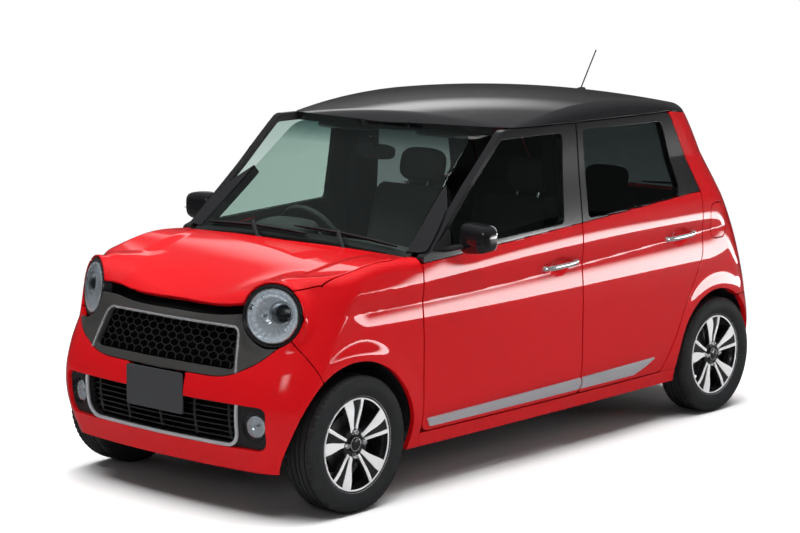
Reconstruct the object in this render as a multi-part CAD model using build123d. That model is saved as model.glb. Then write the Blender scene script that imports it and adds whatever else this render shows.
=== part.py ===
from build123d import *
import os
from math import cos, radians, sin, sqrt

# Overall sizes of the small five-door car, in millimetres, X forward, Y left, Z up
WHEELBASE = 2520.0
TRACK = 1300.0
AXLE_X = WHEELBASE / 2
WHEEL_Y = TRACK / 2
TYRE_RADIUS = 279.0
TYRE_WIDTH = 165.0
RIM_RADIUS = 192.0
HALF_LENGTH = 1697.5
HALF_WIDTH = 738.0
SILL_Z = 195.0
FLOOR_Z = 205.0
FLOOR_TOP = 235.0
FLOOR_HALF = 560.0

# Body form
SIDE_X = -100.0
END_SAG = 60.0
CABIN_FRONT = 1000.0
NOSE_REAR = 760.0
LOW_SIDE = 40000.0
BELT_SIDE = 25000.0
HIGH_SIDE = 12000.0
# Plan sections of the cabin: height, tail, half width, tail corner radius, side radius
CABIN_SECTIONS = (
    (SILL_Z, -1655.0, 697.0, 150.0, LOW_SIDE),
    (340.0, -HALF_LENGTH, 731.0, 150.0, LOW_SIDE),
    (600.0, -1684.0, HALF_WIDTH, 180.0, LOW_SIDE),
    (880.0, -1608.0, HALF_WIDTH, 240.0, LOW_SIDE),
    (1040.0, -1540.0, 731.0, 250.0, BELT_SIDE),
    (1250.0, -1426.0, 709.0, 260.0, HIGH_SIDE),
    (1446.0, -1300.0, 690.0, 260.0, HIGH_SIDE),
    (1530.0, -1232.0, 660.0, 255.0, HIGH_SIDE),
    (1600.0, -1165.0, 585.0, 250.0, HIGH_SIDE),
)
# Plan sections of the nose: height, front, half width, front corner radius, side radius
NOSE_SECTIONS = (
    (SILL_Z, 1655.0, 697.0, 150.0, LOW_SIDE),
    (340.0, 1693.0, 731.0, 150.0, LOW_SIDE),
    (490.0, HALF_LENGTH, 737.0, 150.0, LOW_SIDE),
    (600.0, 1668.0, HALF_WIDTH, 165.0, LOW_SIDE),
    (760.0, 1603.0, HALF_WIDTH, 215.0, LOW_SIDE),
    (900.0, 1545.0, HALF_WIDTH, 255.0, LOW_SIDE),
    (1040.0, 1470.0, 731.0, 260.0, BELT_SIDE),
)
# Cross sections of the bonnet top: station, height at the middle, height at the edge
BONNET_EDGE_Y = 800.0
BONNET_SECTIONS = (
    (740.0, 1012.0, 955.0),
    (930.0, 998.0, 985.0),
    (1150.0, 962.0, 985.0),
    (1350.0, 912.0, 975.0),
    (1530.0, 840.0, 1060.0),
    (1760.0, 728.0, 948.0),
)
ROOF_TOP_X = -480.0
ROOF_TOP_Z = 1577.0
ROOF_ARC = 3370.0
ROOF_CROWN = 5500.0
SCREEN_BASE_X = 886.0
SCREEN_BASE_Z = 1002.0
SCREEN_TOP_X = 342.0
SCREEN_TOP_Z = 1453.0
SCREEN_CURVE = 9000.0
SCREEN_BASE_HALF = 613.0
SCREEN_TOP_HALF = 524.0

# Wall and panel thicknesses
NOSE_WALL = 26.0
BONNET_WALL = 20.0
DOOR_FRAME = 38.0
ROOF_WALL = 45.0
PILLAR_WALL = 58.0
TAILGATE_WALL = 40.0
GLASS = 5.0
GLASS_INSET = 12.0
DOOR_INNER_Y = 646.0
WAIST_Z = 1000.0

# Outside mirror: middle, size, corner radius, and its foot from x, y and z low to high
MIRROR_CENTRE = (652.0, 826.0, 1050.0)
MIRROR_SIZE = (106.0, 158.0, 162.0)
MIRROR_ROUND = 34.0
MIRROR_FOOT = (693.0, 745.0, 690.0, 780.0, 990.0, 1030.0)

# Shut lines
DOOR_GAP = 9.0
PANEL_GAP = 6.0
# Door outlines in side view: x, z, corner radius
FRONT_DOOR = (
    (866.0, 264.0, 40.0),
    (866.0, 990.0, 12.0),
    (818.0, 1004.0, 12.0),
    (318.0, 1461.0, 60.0),
    (-176.0, 1461.0, 12.0),
    (-176.0, 264.0, 12.0),
)
REAR_DOOR = (
    (-186.0, 264.0, 12.0),
    (-186.0, 1461.0, 12.0),
    (-922.0, 1461.0, 45.0),
    (-1136.0, 1075.0, 80.0),
    (-1126.0, 780.0, 120.0),
    (-985.0, 555.0, 150.0),
    (-818.0, 264.0, 30.0),
)
FRONT_WINDOW = (
    (330.0, 1424.0, 35.0),
    (-78.0, 1428.0, 20.0),
    (-50.0, 1036.0, 20.0),
    (690.0, 1004.0, 20.0),
    (690.0, 1096.0, 20.0),
)
REAR_WINDOW = (
    (-225.0, 1430.0, 20.0),
    (-850.0, 1426.0, 30.0),
    (-968.0, 1075.0, 40.0),
    (-229.0, 1042.0, 20.0),
)
FRONT_ARCH = 335.0
REAR_ARCH = 322.0

# Hinges of the side doors
HINGE_SET_BACK = 50.0
FRONT_HINGE_Y = 707.0
REAR_HINGE_Y = 717.0
FLANGE_FROM_HINGE = 12.0
FLANGE_ABOVE_WAIST = 18.0
HINGE_PIN = 4.5
HINGE_BORE = 4.8
HINGE_BARREL = 9.0
HINGE_LENGTH = 44.0
HINGE_HEIGHTS = (420.0, 860.0)
HINGE_EAR = 10.0
EAR_HALF = 6.0
PILLAR_OUT_Y = 632.0
PILLAR_IN_Y = FLOOR_HALF

# Nose openings and lamps
LAMP_X = 1550.0
LAMP_Y = 533.0
LAMP_Z = 814.0
LAMP_YAW = 23.0
LAMP_PITCH = 8.0
LAMP_HOLE = 122.0
LAMP_EYELID = 133.0
FOG_Y = 522.0
FOG_Z = 385.0
FOG_RADIUS = 48.0
# Upper edge of the grille panel in front view: y, z
MASK_TOP = ((0.0, 812.0), (370.0, 826.0), (420.0, 840.0))
# Lower edge of the grille panel in front view: y, z
MASK_BOTTOM = ((250.0, 566.0), (430.0, 584.0), (490.0, 652.0), (570.0, 668.0), (648.0, 735.0))
MASK_SIDE = (668.0, 820.0)
UPPER_GRILLE = ((-412.0, 600.0, 14.0), (412.0, 600.0, 14.0), (375.0, 756.0, 28.0), (-375.0, 756.0, 28.0))
LOWER_OPENING = ((-585.0, 290.0, 50.0), (585.0, 290.0, 50.0), (592.0, 470.0, 30.0), (-592.0, 470.0, 30.0))
BUMPER_SEAM = ((1300.0, 150.0), (1455.0, 566.0), (1548.0, 735.0))

# Bonnet plan and hinge
BONNET_REAR_X = 930.0
BONNET_CORNER = (905.0, 655.0)
BONNET_SIDE = ((1035.0, 680.0), (1500.0, 632.0), (1760.0, 600.0))
BONNET_AXIS_X = 942.0
BONNET_AXIS_Z = 958.0
BONNET_HINGE_Y = 560.0
COWL_TOP = 928.0
COWL = 12.0
COWL_REAR_X = 850.0
COWL_HALF = 640.0
FIREWALL_X = 880.0
FIREWALL = 20.0

# Tail
TAILGATE_TOP_X = -1190.0
# Tailgate outline in rear view: y, z, corner radius
TAILGATE = ((528.0, 560.0, 40.0), (545.0, 985.0, 120.0), (530.0, 1380.0, 120.0), (505.0, 1600.0, 0.0))
TAILGATE_WINDOW = ((-455.0, 1030.0, 50.0), (455.0, 1030.0, 50.0), (420.0, 1385.0, 50.0), (-420.0, 1385.0, 50.0))
TAILGATE_GAP = 14.0
TAILGATE_AXIS_X = TAILGATE_TOP_X - TAILGATE_GAP - 54.0
TAILGATE_AXIS_Z = 1465.0
TAILGATE_HINGE_Y = 215.0
TAIL_LAMP = ((560.0, 690.0, 30.0), (780.0, 690.0, 0.0), (780.0, 960.0, 0.0), (572.0, 960.0, 40.0))
TAIL_LAMP_X = -1490.0
BUMPER_TOP = 552.0
FUEL_LID_X = -1268.0
FUEL_LID_Z = 930.0
FUEL_LID_HALF = 62.0
FUEL_LID_HEIGHT = 82.0
FUEL_LID_WALL = 7.0
FUEL_POCKET = 52.0
FUEL_GAP = 9.0
FUEL_AXIS_X = FUEL_LID_X + FUEL_LID_HALF - 30.0
FUEL_AXIS_Y = 704.0
FUEL_PIN = 1.5
FUEL_BORE = 1.8
FUEL_BARREL = 3.2

# Steering
KINGPIN_TOP = (AXLE_X, 452.0, 800.0)
KINGPIN_BOTTOM = (AXLE_X, 588.0, 168.0)
COLUMN_X = 430.0
COLUMN_Y = -330.0
COLUMN_Z = 905.0
COLUMN_TILT = 26.0
STEERING_RING = 180.0
STEERING_TUBE = 14.0
SPOKE_WIDTH = 34.0
SPOKE_THICKNESS = 12.0

# Seats: middle across, width
FRONT_SEATS = ((330.0, 440.0), (-330.0, 440.0))

# Plate board
PLATE_HALF = 166.0
PLATE_LOW = 392.0
PLATE_HIGH = 558.0
PLATE_BACK = 1688.0
PLATE_BOLT_HALF = 105.0
PLATE_BOLT_Z = 534.0
PLATE_BOLT = 3.2

# Cabin openings
DOOR_HEAD = FRONT_DOOR[3][1] + DOOR_GAP

# Cabin frame
PILLAR_FOOT = 985.0
SILL_TOP = FRONT_DOOR[0][1] - DOOR_GAP

# Hinges of the bonnet and the tailgate
LID_PIN = 3.5
LID_BORE = 3.8
LID_BARREL = 7.0
LID_EAR_ROUND = 5.0
LID_BARREL_HALF = 14.0
LID_EAR = 10.0

# Lamp and grille parts
LAMP_BEZEL = LAMP_HOLE - 0.3
LENS_RADIUS = 106.0
LENS_BULGE = 22.0
LENS_WALL = 3.0
GRILLE_INSET = 12.0
GRILLE_WALL = 12.0
HEX_PITCH = 52.0
HEX_RADIUS = 25.0
HEX_ROWS = 3
HEX_COLUMNS = 14
SLAT_ROWS = 5
SLAT_PITCH = 33.0
SLAT_GAP = 20.0

# Floor and frame
LOAD_FLOOR = 490.0
LOAD_REAR_X = -1636.0
RAIL_Y0 = 300.0
RAIL_Y1 = 360.0

# Wheelhouses and steered parts
HOUSE_GAP = 2.0
STRUT_RADIUS = 24.0
TOWER_HALF = 80.0
TOWER_Y = 472.0
TOWER_TOP = 800.0
HOUSE_WALL = 10.0
FRONT_HOUSE = 350.0
FRONT_HOUSE_Y0 = 388.0
FRONT_HOUSE_Y1 = 690.0
FRONT_HOUSE_LOW = 300.0
REAR_HOUSE = 345.0
REAR_HOUSE_Y0 = 476.0
REAR_HOUSE_Y1 = 690.0
REAR_HOUSE_LOW = 400.0
SPINDLE = 22.0
SPINDLE_END = WHEEL_Y + 18.0
BALL_PIN = 10.0

# Exhaust pipe
PIPE = 20.0

# Wheels
RIM_WALL = 14.0
BEAD_Y = 62.0
HUB_RADIUS = 60.0
SPOKES = 5
# Spokes of each group: turn in degrees, half width
SPOKE_BLADES = ((-9.0, 17.0), (16.0, 7.0))
SPOKE_Y0 = 32.0
SPOKE_Y1 = 58.0
WHEELS = (("front_left", 1, 1), ("front_right", 1, -1), ("rear_left", -1, 1), ("rear_right", -1, -1))

# Roof antenna
ANTENNA_X = -1111.0


def rounded(rows):
    """Closed outline from rows of two coordinates and a corner radius."""
    points = [(a, b) for a, b, radius in rows]
    return FilletPolyline(*points, radius=[radius for a, b, radius in rows], close=True)


def loop_of(points):
    """Closed outline with sharp corners."""
    return Polyline(*points, close=True)


def prism_x(outline, x0, x1):
    """Outline in Y and Z, carried along X."""
    return extrude(Plane.YZ.offset(x0) * make_face(outline), amount=x1 - x0, dir=(1, 0, 0))


def prism_y(outline, y0, y1):
    """Outline in X and Z, carried along Y."""
    return extrude(Plane.XZ.offset(-y0) * make_face(outline), amount=y1 - y0, dir=(0, 1, 0))


def prism_z(outline, z0, z1):
    """Outline in X and Y, carried along Z."""
    return extrude(Plane.XY.offset(z0) * make_face(outline), amount=z1 - z0, dir=(0, 0, 1))


def block(x0, x1, y0, y1, z0, z1):
    """Box between two corners."""
    size = Box(abs(x1 - x0), abs(y1 - y0), abs(z1 - z0))
    return Pos((x0 + x1) / 2, (y0 + y1) / 2, (z0 + z1) / 2) * size


def rod(start, end, radius):
    """Round bar between two points."""
    axis = Vector(*end) - Vector(*start)
    plane = Plane(origin=start, z_dir=axis)
    return extrude(plane * Circle(radius), amount=axis.length)


def across(x, z, radius, y0, y1):
    """Round bar along Y."""
    return rod((x, y0, z), (x, y1, z), radius)


def upright(x, y, radius, z0, z1):
    """Round bar along Z."""
    return rod((x, y, z0), (x, y, z1), radius)


def flipped(part):
    """The same piece on the right of the car."""
    return mirror(part, about=Plane.XZ)


def pair(part):
    """A left piece and its mirror image, as two solids."""
    return Compound(list(part.solids()) + list(flipped(part).solids()))


def save(name, shape):
    """Write one named piece, with its solids kept apart."""
    solids = list(shape.solids())
    piece = solids[0] if len(solids) == 1 else Compound(solids)
    export_step(piece, os.path.join("parts", name + ".step"))


def side_y(half_width, side, x):
    """Half width at a station of the long side arc, given its radius."""
    return half_width - side + sqrt(side ** 2 - (x - SIDE_X) ** 2)


def plan_section(z, flat_x, end_x, half_width, corner, side):
    """Plan of the body at one height, square at one end and round at the other."""
    sag_x = end_x - END_SAG if end_x > 0 else end_x + END_SAG
    flat_y = side_y(half_width, side, flat_x)
    sag_y = side_y(half_width, side, sag_x)
    mid_x = (flat_x + sag_x) / 2
    mid_y = side_y(half_width, side, mid_x)
    edges = [
        Line((flat_x, -flat_y), (flat_x, flat_y)),
        ThreePointArc((flat_x, flat_y), (mid_x, mid_y), (sag_x, sag_y)),
        ThreePointArc((sag_x, sag_y), (end_x, 0), (sag_x, -sag_y)),
        ThreePointArc((sag_x, -sag_y), (mid_x, -mid_y), (flat_x, -flat_y)),
    ]
    face = make_face(edges)
    ends = face.vertices().sort_by(Axis.X)
    ends = ends[-2:] if end_x > 0 else ends[:2]
    return Plane.XY.offset(z) * fillet(ends, corner)


def roof_cut(depth):
    """What lies above the roof, lowered by a depth."""
    top = ROOF_TOP_Z - depth
    side = 900.0
    drop = side ** 2 / (2 * ROOF_CROWN)
    sky = 700.0
    edges = [
        ThreePointArc((-side, top - drop), (0, top), (side, top - drop)),
        Polyline((side, top - drop), (side, top + sky), (-side, top + sky), (-side, top - drop)),
    ]
    sweep = 80.0
    profile = Plane.YZ.offset(ROOF_TOP_X) * make_face(edges)
    axis = Axis((ROOF_TOP_X, 0, ROOF_TOP_Z - ROOF_ARC), (0, 1, 0))
    return revolve(profile.rotate(axis, -sweep / 2), axis=axis, revolution_arc=sweep)


def screen_plane():
    """Plane across the windscreen: local X is the car's Y, local Y is outward."""
    rise = Vector(SCREEN_TOP_X - SCREEN_BASE_X, 0, SCREEN_TOP_Z - SCREEN_BASE_Z)
    return Plane(origin=(SCREEN_BASE_X, 0, SCREEN_BASE_Z), x_dir=(0, 1, 0), z_dir=rise)


SCREEN_LENGTH = sqrt((SCREEN_TOP_X - SCREEN_BASE_X) ** 2 + (SCREEN_TOP_Z - SCREEN_BASE_Z) ** 2)


def screen_band(inner, outer):
    """Curved sheet along the windscreen between two depths below its face."""
    half = 900.0
    drop = half ** 2 / (2 * SCREEN_CURVE)
    side = Vector(screen_plane().y_dir)
    out = 1 if side.Z > 0 else -1
    edges = [
        ThreePointArc((-half, out * (-outer - drop)), (0, -out * outer), (half, out * (-outer - drop))),
        Line((half, out * (-outer - drop)), (half, out * (-inner - drop))),
        ThreePointArc((half, out * (-inner - drop)), (0, -out * inner), (-half, out * (-inner - drop))),
        Line((-half, out * (-inner - drop)), (-half, out * (-outer - drop))),
    ]
    run = 700.0
    base = screen_plane().offset(-run)
    return extrude(base * make_face(edges), amount=2 * run + SCREEN_LENGTH)


FORMS = {}


def side_form(depth):
    """The cabin's sides and tail drawn in by a depth, open towards screen and roof."""
    if ("side", depth) not in FORMS:
        sections = [
            plan_section(z, CABIN_FRONT, tail + depth, half - depth, corner - depth, side)
            for z, tail, half, corner, side in CABIN_SECTIONS
        ]
        FORMS["side", depth] = loft(sections)
    return FORMS["side", depth]


def cabin_form(depth):
    """The cabin's outer form, drawn in by a depth on every side."""
    if ("cabin", depth) not in FORMS:
        sky = 900.0
        FORMS["cabin", depth] = side_form(depth) - roof_cut(depth) - screen_band(depth, depth - sky)
    return FORMS["cabin", depth]


def bonnet_tool(depth):
    """Everything under the bonnet top, lowered by a depth."""
    faces = []
    for x, middle, edge in BONNET_SECTIONS:
        edges = [
            ThreePointArc((-BONNET_EDGE_Y, edge - depth), (0, middle - depth), (BONNET_EDGE_Y, edge - depth)),
            Polyline(
                (BONNET_EDGE_Y, edge - depth),
                (BONNET_EDGE_Y, 0),
                (-BONNET_EDGE_Y, 0),
                (-BONNET_EDGE_Y, edge - depth),
            ),
        ]
        faces.append(Plane.YZ.offset(x) * make_face(edges))
    return loft(faces)


def nose_form(depth):
    """The nose's outer form, drawn in by a depth."""
    if ("nose", depth) not in FORMS:
        sections = [
            plan_section(z, NOSE_REAR, front - depth, half - depth, corner - depth, side)
            for z, front, half, corner, side in NOSE_SECTIONS
        ]
        FORMS["nose", depth] = loft(sections) & bonnet_tool(depth)
    return FORMS["nose", depth]


def grown(outline, gap):
    """Outline moved outward by a gap."""
    return offset(make_face(outline), amount=gap, kind=Kind.INTERSECTION)


def arch(x, radius):
    """Round wheel opening through one side."""
    inner_y = 380.0
    outer_y = 820.0
    return across(x, TYRE_RADIUS, radius, inner_y, outer_y)


def door_way(outline):
    """Space that a door and its gap take in the left side."""
    inner_y = 500.0
    outer_y = 820.0
    face = Plane.XZ.offset(-inner_y) * grown(rounded(outline), DOOR_GAP)
    way = extrude(face, amount=outer_y - inner_y, dir=(0, 1, 0))
    high = 1700.0
    window_side = block(-HALF_LENGTH, CABIN_FRONT, 0, outer_y, WAIST_Z, high)
    return way - (side_form(DOOR_FRAME + DOOR_GAP) & window_side)


def hinge_x(outline):
    """Station of a door's hinge axis behind its front edge."""
    return outline[0][0] - HINGE_SET_BACK


def hinge_barrels(x, hinge_y):
    """Barrels of one door on its two pins."""
    barrels = []
    for z in HINGE_HEIGHTS:
        z0 = z - HINGE_LENGTH / 2
        z1 = z + HINGE_LENGTH / 2
        root_y = hinge_y + FLANGE_FROM_HINGE + 3
        root = block(x - HINGE_BARREL, x + HINGE_BARREL, hinge_y, root_y, z0, z1)
        barrel = upright(x, hinge_y, HINGE_BARREL, z0, z1) + root
        barrels.append(barrel)
    return barrels


def hinge_bores(x, hinge_y):
    """Holes for the two pins, with room for the ears above and below each barrel."""
    bores = []
    reach = HINGE_LENGTH / 2 + HINGE_EAR
    for z in HINGE_HEIGHTS:
        bores.append(upright(x, hinge_y, HINGE_BORE, z - reach - 2, z + reach + 2))
    return bores


def hinge_posts(x, hinge_y):
    """Pins and their ears, standing on a pillar."""
    posts = []
    for z in HINGE_HEIGHTS:
        half = HINGE_LENGTH / 2 + 1.0
        pin = upright(x, hinge_y, HINGE_PIN, z - half - HINGE_EAR, z + half + HINGE_EAR)
        posts.append(pin)
        for side in (-1, 1):
            z0 = z + side * half
            z1 = z + side * (half + HINGE_EAR)
            ear = block(x - EAR_HALF, x + EAR_HALF, PILLAR_OUT_Y - 12, hinge_y, min(z0, z1), max(z0, z1))
            posts.append(ear + upright(x, hinge_y, EAR_HALF, min(z0, z1), max(z0, z1)))
    return posts


def side_door(outline, window, hinge_y):
    """One left door: thick below the waist, a slim frame above it."""
    x = hinge_x(outline)
    inner_y = 500.0
    outer_y = 820.0
    door = cabin_form(0.0) & prism_y(rounded(outline), inner_y, outer_y)
    high = 1700.0
    door -= block(-HALF_LENGTH, CABIN_FRONT, 0, DOOR_INNER_Y, 0, WAIST_Z)
    door -= side_form(DOOR_FRAME) & block(-HALF_LENGTH, CABIN_FRONT, 0, outer_y, WAIST_Z, high)
    flange_y = hinge_y + FLANGE_FROM_HINGE
    door -= block(x - HINGE_BARREL - 6, CABIN_FRONT, 0, flange_y, 0, WAIST_Z + FLANGE_ABOVE_WAIST)
    door -= prism_y(rounded(window), inner_y, outer_y)
    for barrel in hinge_barrels(x, hinge_y):
        door += barrel
    for bore in hinge_bores(x, hinge_y):
        door -= bore
    return door


def side_glass(window):
    """Curved pane that fills a door's window opening."""
    pane = side_form(GLASS_INSET) & prism_y(rounded(window), 500.0, 820.0)
    return pane - side_form(GLASS_INSET + GLASS)


def door_mirror():
    """Left outside mirror on its foot."""
    shell = Pos(*MIRROR_CENTRE) * fillet(Box(*MIRROR_SIZE).edges(), MIRROR_ROUND)
    foot = block(*MIRROR_FOOT)
    return (shell + foot) - side_door_left_front


os.makedirs("parts", exist_ok=True)

front_way = door_way(FRONT_DOOR)
rear_way = door_way(REAR_DOOR)
side_door_left_front = side_door(FRONT_DOOR, FRONT_WINDOW, FRONT_HINGE_Y)
side_door_left_rear = side_door(REAR_DOOR, REAR_WINDOW, REAR_HINGE_Y)
mirror_left = door_mirror()
panes = {"front": side_glass(FRONT_WINDOW), "rear": side_glass(REAR_WINDOW)}
doors = {"front": side_door_left_front, "rear": side_door_left_rear}
for end in ("front", "rear"):
    save("door_" + end + "_left", doors[end])
    save("door_" + end + "_right", flipped(doors[end]))
    save("glass_" + end + "_left", panes[end])
    save("glass_" + end + "_right", flipped(panes[end]))
save("mirror_left", mirror_left)
save("mirror_right", flipped(mirror_left))

# Nose panels: one shell shared out between bonnet, grille panel, bumper and wings


def mirrored(points):
    """Closed outline from the points of its left half, given from bottom to top."""
    return loop_of([(-a, b) for a, b in reversed(points)] + list(points))


def lamp_plane(side, forward):
    """Plane across a headlamp, set forward along its axis."""
    yaw = radians(LAMP_YAW) * side
    pitch = radians(LAMP_PITCH)
    axis = Vector(cos(yaw) * cos(pitch), sin(yaw) * cos(pitch), sin(pitch))
    origin = Vector(LAMP_X, LAMP_Y * side, LAMP_Z) + axis * forward
    return Plane(origin=origin, z_dir=axis)


def lamp_drum(radius, back, forward):
    """Round drum along the left lamp's axis."""
    return extrude(lamp_plane(1, -back) * Circle(radius), amount=back + forward)


nose_front = 1760.0
mask_rear = 1385.0
bonnet_plan = loop_of(
    [(BONNET_REAR_X, 0), BONNET_CORNER]
    + list(BONNET_SIDE)
    + [(x, -y) for x, y in reversed(BONNET_SIDE)]
    + [(BONNET_CORNER[0], -BONNET_CORNER[1])]
)


def bonnet_space(gap):
    """Space of the bonnet, made larger by a gap on every side."""
    edge = [(y, z - gap) for y, z in reversed(MASK_TOP[1:])]
    skirt = mirrored([(780.0, 100.0), (780.0, 790.0 - gap), (600.0, 790.0 - gap)] + edge)
    space = extrude(Plane.XY.offset(700.0) * grown(bonnet_plan, gap), amount=500.0, dir=(0, 0, 1))
    space -= prism_x(skirt, mask_rear + gap, nose_front)
    for y in (-LAMP_Y, LAMP_Y):
        space -= rod((mask_rear + gap, y, LAMP_Z), (nose_front, y, LAMP_Z), LAMP_EYELID - gap)
    return space


wing_rear = FRONT_DOOR[0][0] + DOOR_GAP
arches = pair(arch(AXLE_X, FRONT_ARCH))
lamp_hole = pair(lamp_drum(LAMP_HOLE, 150.0, 150.0))
fixed_nose = nose_form(0.0) - nose_form(NOSE_WALL)
fixed_nose &= block(wing_rear, nose_front, -800, 800, 0, 1200)
fixed_nose = fixed_nose - bonnet_space(PANEL_GAP) - arches - lamp_hole
cowl_half = BONNET_CORNER[1] + PANEL_GAP
fixed_nose -= block(0, BONNET_REAR_X + 10, -cowl_half, cowl_half, 700, 1200)
mask_outline = mirrored(list(MASK_BOTTOM) + [MASK_SIDE, (MASK_SIDE[0], 1100.0)])
mask_zone = prism_x(mask_outline, mask_rear, nose_front)
seam_top = BUMPER_SEAM[-1][1]
bumper_side = loop_of(list(BUMPER_SEAM) + [(nose_front, seam_top), (nose_front, BUMPER_SEAM[0][1])])
bumper_zone = prism_y(bumper_side, -800, 800) - mask_zone
upper_opening = prism_x(rounded(UPPER_GRILLE), mask_rear, nose_front)
lower_opening = prism_x(rounded(LOWER_OPENING), mask_rear, nose_front)
bonnet = (nose_form(0.0) - nose_form(BONNET_WALL)) & bonnet_space(0.0)
grille_panel = (fixed_nose & mask_zone) - upper_opening
front_bumper = (fixed_nose & bumper_zone) - lower_opening
wings = fixed_nose - mask_zone - bumper_zone

# Plate board let into the bumper, with its two bolt holes
plate_board = block(PLATE_BACK, HALF_LENGTH, -PLATE_HALF, PLATE_HALF, PLATE_LOW, PLATE_HIGH)
plate_space = block(PLATE_BACK, nose_front, -PLATE_HALF, PLATE_HALF, PLATE_LOW, PLATE_HIGH)
front_bumper -= plate_space
for y in (-PLATE_BOLT_HALF, PLATE_BOLT_HALF):
    bolt_hole = rod((mask_rear, y, PLATE_BOLT_Z), (nose_front, y, PLATE_BOLT_Z), PLATE_BOLT)
    plate_board -= bolt_hole
    front_bumper -= bolt_hole

# Cabin frame: windscreen, pillars, roof, sills and quarters
body_high = 1700.0
screen_face = Plane(
    origin=(SCREEN_BASE_X, 0, SCREEN_BASE_Z),
    x_dir=(0, 1, 0),
    z_dir=(SCREEN_TOP_Z - SCREEN_BASE_Z, 0, SCREEN_BASE_X - SCREEN_TOP_X),
)
screen_outline = rounded(
    (
        (-SCREEN_BASE_HALF, 0.0, 40.0),
        (SCREEN_BASE_HALF, 0.0, 40.0),
        (SCREEN_TOP_HALF, SCREEN_LENGTH, 60.0),
        (-SCREEN_TOP_HALF, SCREEN_LENGTH, 60.0),
    )
)
screen_depth = 120.0
screen_prism = extrude(screen_face.offset(-screen_depth) * make_face(screen_outline), amount=2 * screen_depth)
windscreen = screen_band(GLASS, 0.0) & screen_prism

rake_x = (SCREEN_TOP_Z - SCREEN_BASE_Z) / SCREEN_LENGTH
rake_z = (SCREEN_BASE_X - SCREEN_TOP_X) / SCREEN_LENGTH
header_up = 70.0
header_down = 100.0
roof_outline = loop_of(
    (
        (SCREEN_TOP_X + header_up * rake_x, body_high),
        (SCREEN_TOP_X + header_up * rake_x, SCREEN_TOP_Z + header_up * rake_z),
        (SCREEN_TOP_X - header_down * rake_x, SCREEN_TOP_Z - header_down * rake_z),
        (REAR_DOOR[2][0] + 20.0, SCREEN_TOP_Z - header_down * rake_z),
        (REAR_DOOR[2][0] + 20.0, DOOR_HEAD),
        (TAILGATE_TOP_X, DOOR_HEAD - 28.0),
        (TAILGATE_TOP_X, body_high),
    )
)
roof_zone = prism_y(roof_outline, -800, 800)
ways = [front_way, rear_way, flipped(front_way), flipped(rear_way)]
roof = (cabin_form(0.0) - cabin_form(ROOF_WALL)) & roof_zone
for way in ways:
    roof -= way
roof -= screen_band(GLASS, -screen_depth) & screen_prism

pillar_shell = cabin_form(0.0) - cabin_form(PILLAR_WALL)
front_pillar = pillar_shell & block(200, CABIN_FRONT, 400, 800, PILLAR_FOOT, body_high)
front_pillar = front_pillar - roof_zone - front_way - screen_prism
front_pillar = Part() + max(front_pillar.solids(), key=lambda solid: solid.volume)

rear_arch = arch(-AXLE_X, REAR_ARCH)
sill = cabin_form(0.0) & block(-1000, wing_rear, FLOOR_HALF, 800, 0, SILL_TOP)
sill -= rear_arch
hinge_pillar = block(770, 858, PILLAR_IN_Y, PILLAR_OUT_Y, SILL_TOP, PILLAR_FOOT)
for post in hinge_posts(hinge_x(FRONT_DOOR), FRONT_HINGE_Y):
    hinge_pillar += post
post_x = hinge_x(REAR_DOOR)
middle_outline = loop_of(
    (
        (PILLAR_IN_Y, SILL_TOP),
        (PILLAR_OUT_Y, SILL_TOP),
        (PILLAR_OUT_Y, 1040.0),
        (606.0, 1460.0),
        (596.0, 1560.0),
        (540.0, 1560.0),
        (566.0, 1060.0),
    )
)
middle_pillar = prism_x(middle_outline, post_x - 20, post_x + 125) & cabin_form(ROOF_WALL)
for post in hinge_posts(post_x, REAR_HINGE_Y):
    middle_pillar += post

# Tail: tailgate, quarters, rear bumper, tail lamps and fuel lid
tailgate_rows = [(-a, b, r) for a, b, r in reversed(TAILGATE)] + list(TAILGATE)
tail_front = TAILGATE_TOP_X
tail_rear = -1800.0
gate_face = Plane.YZ.offset(tail_rear) * make_face(rounded(tailgate_rows))
gate_zone = extrude(gate_face, amount=tail_front - TAILGATE_GAP - tail_rear, dir=(1, 0, 0))
gate_way = Plane.YZ.offset(tail_rear) * grown(rounded(tailgate_rows), DOOR_GAP)
gate_way = extrude(gate_way, amount=tail_front - tail_rear, dir=(1, 0, 0))
window_zone = prism_x(rounded(TAILGATE_WINDOW), tail_rear, tail_front - 60)
gate_flange = 8.0
tailgate = (cabin_form(0.0) - cabin_form(TAILGATE_WALL)) & gate_zone
tailgate -= cabin_form(gate_flange) & block(TAILGATE_AXIS_X - 16, 0, -800, 800, 1300, body_high)
tailgate -= window_zone
tailgate_glass = (cabin_form(0.0) - cabin_form(GLASS)) & window_zone
bumper_rear_zone = block(tail_rear, -AXLE_X - 40, -800, 800, 0, BUMPER_TOP)
lamp_zone = prism_x(rounded(TAIL_LAMP), tail_rear, TAIL_LAMP_X)
lamp_wall = 34.0
tail_lamp = (cabin_form(0.0) - cabin_form(lamp_wall)) & lamp_zone
quarter = pillar_shell & block(tail_rear, -780, 60, 800, SILL_TOP, body_high)
quarter = quarter - roof_zone - rear_way - gate_way - bumper_rear_zone - rear_arch - tail_lamp
quarter = Part() + max(quarter.solids(), key=lambda solid: solid.volume)
rear_bumper = (cabin_form(0.0) - cabin_form(NOSE_WALL)) & bumper_rear_zone
rear_bumper -= pair(rear_arch)

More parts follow.
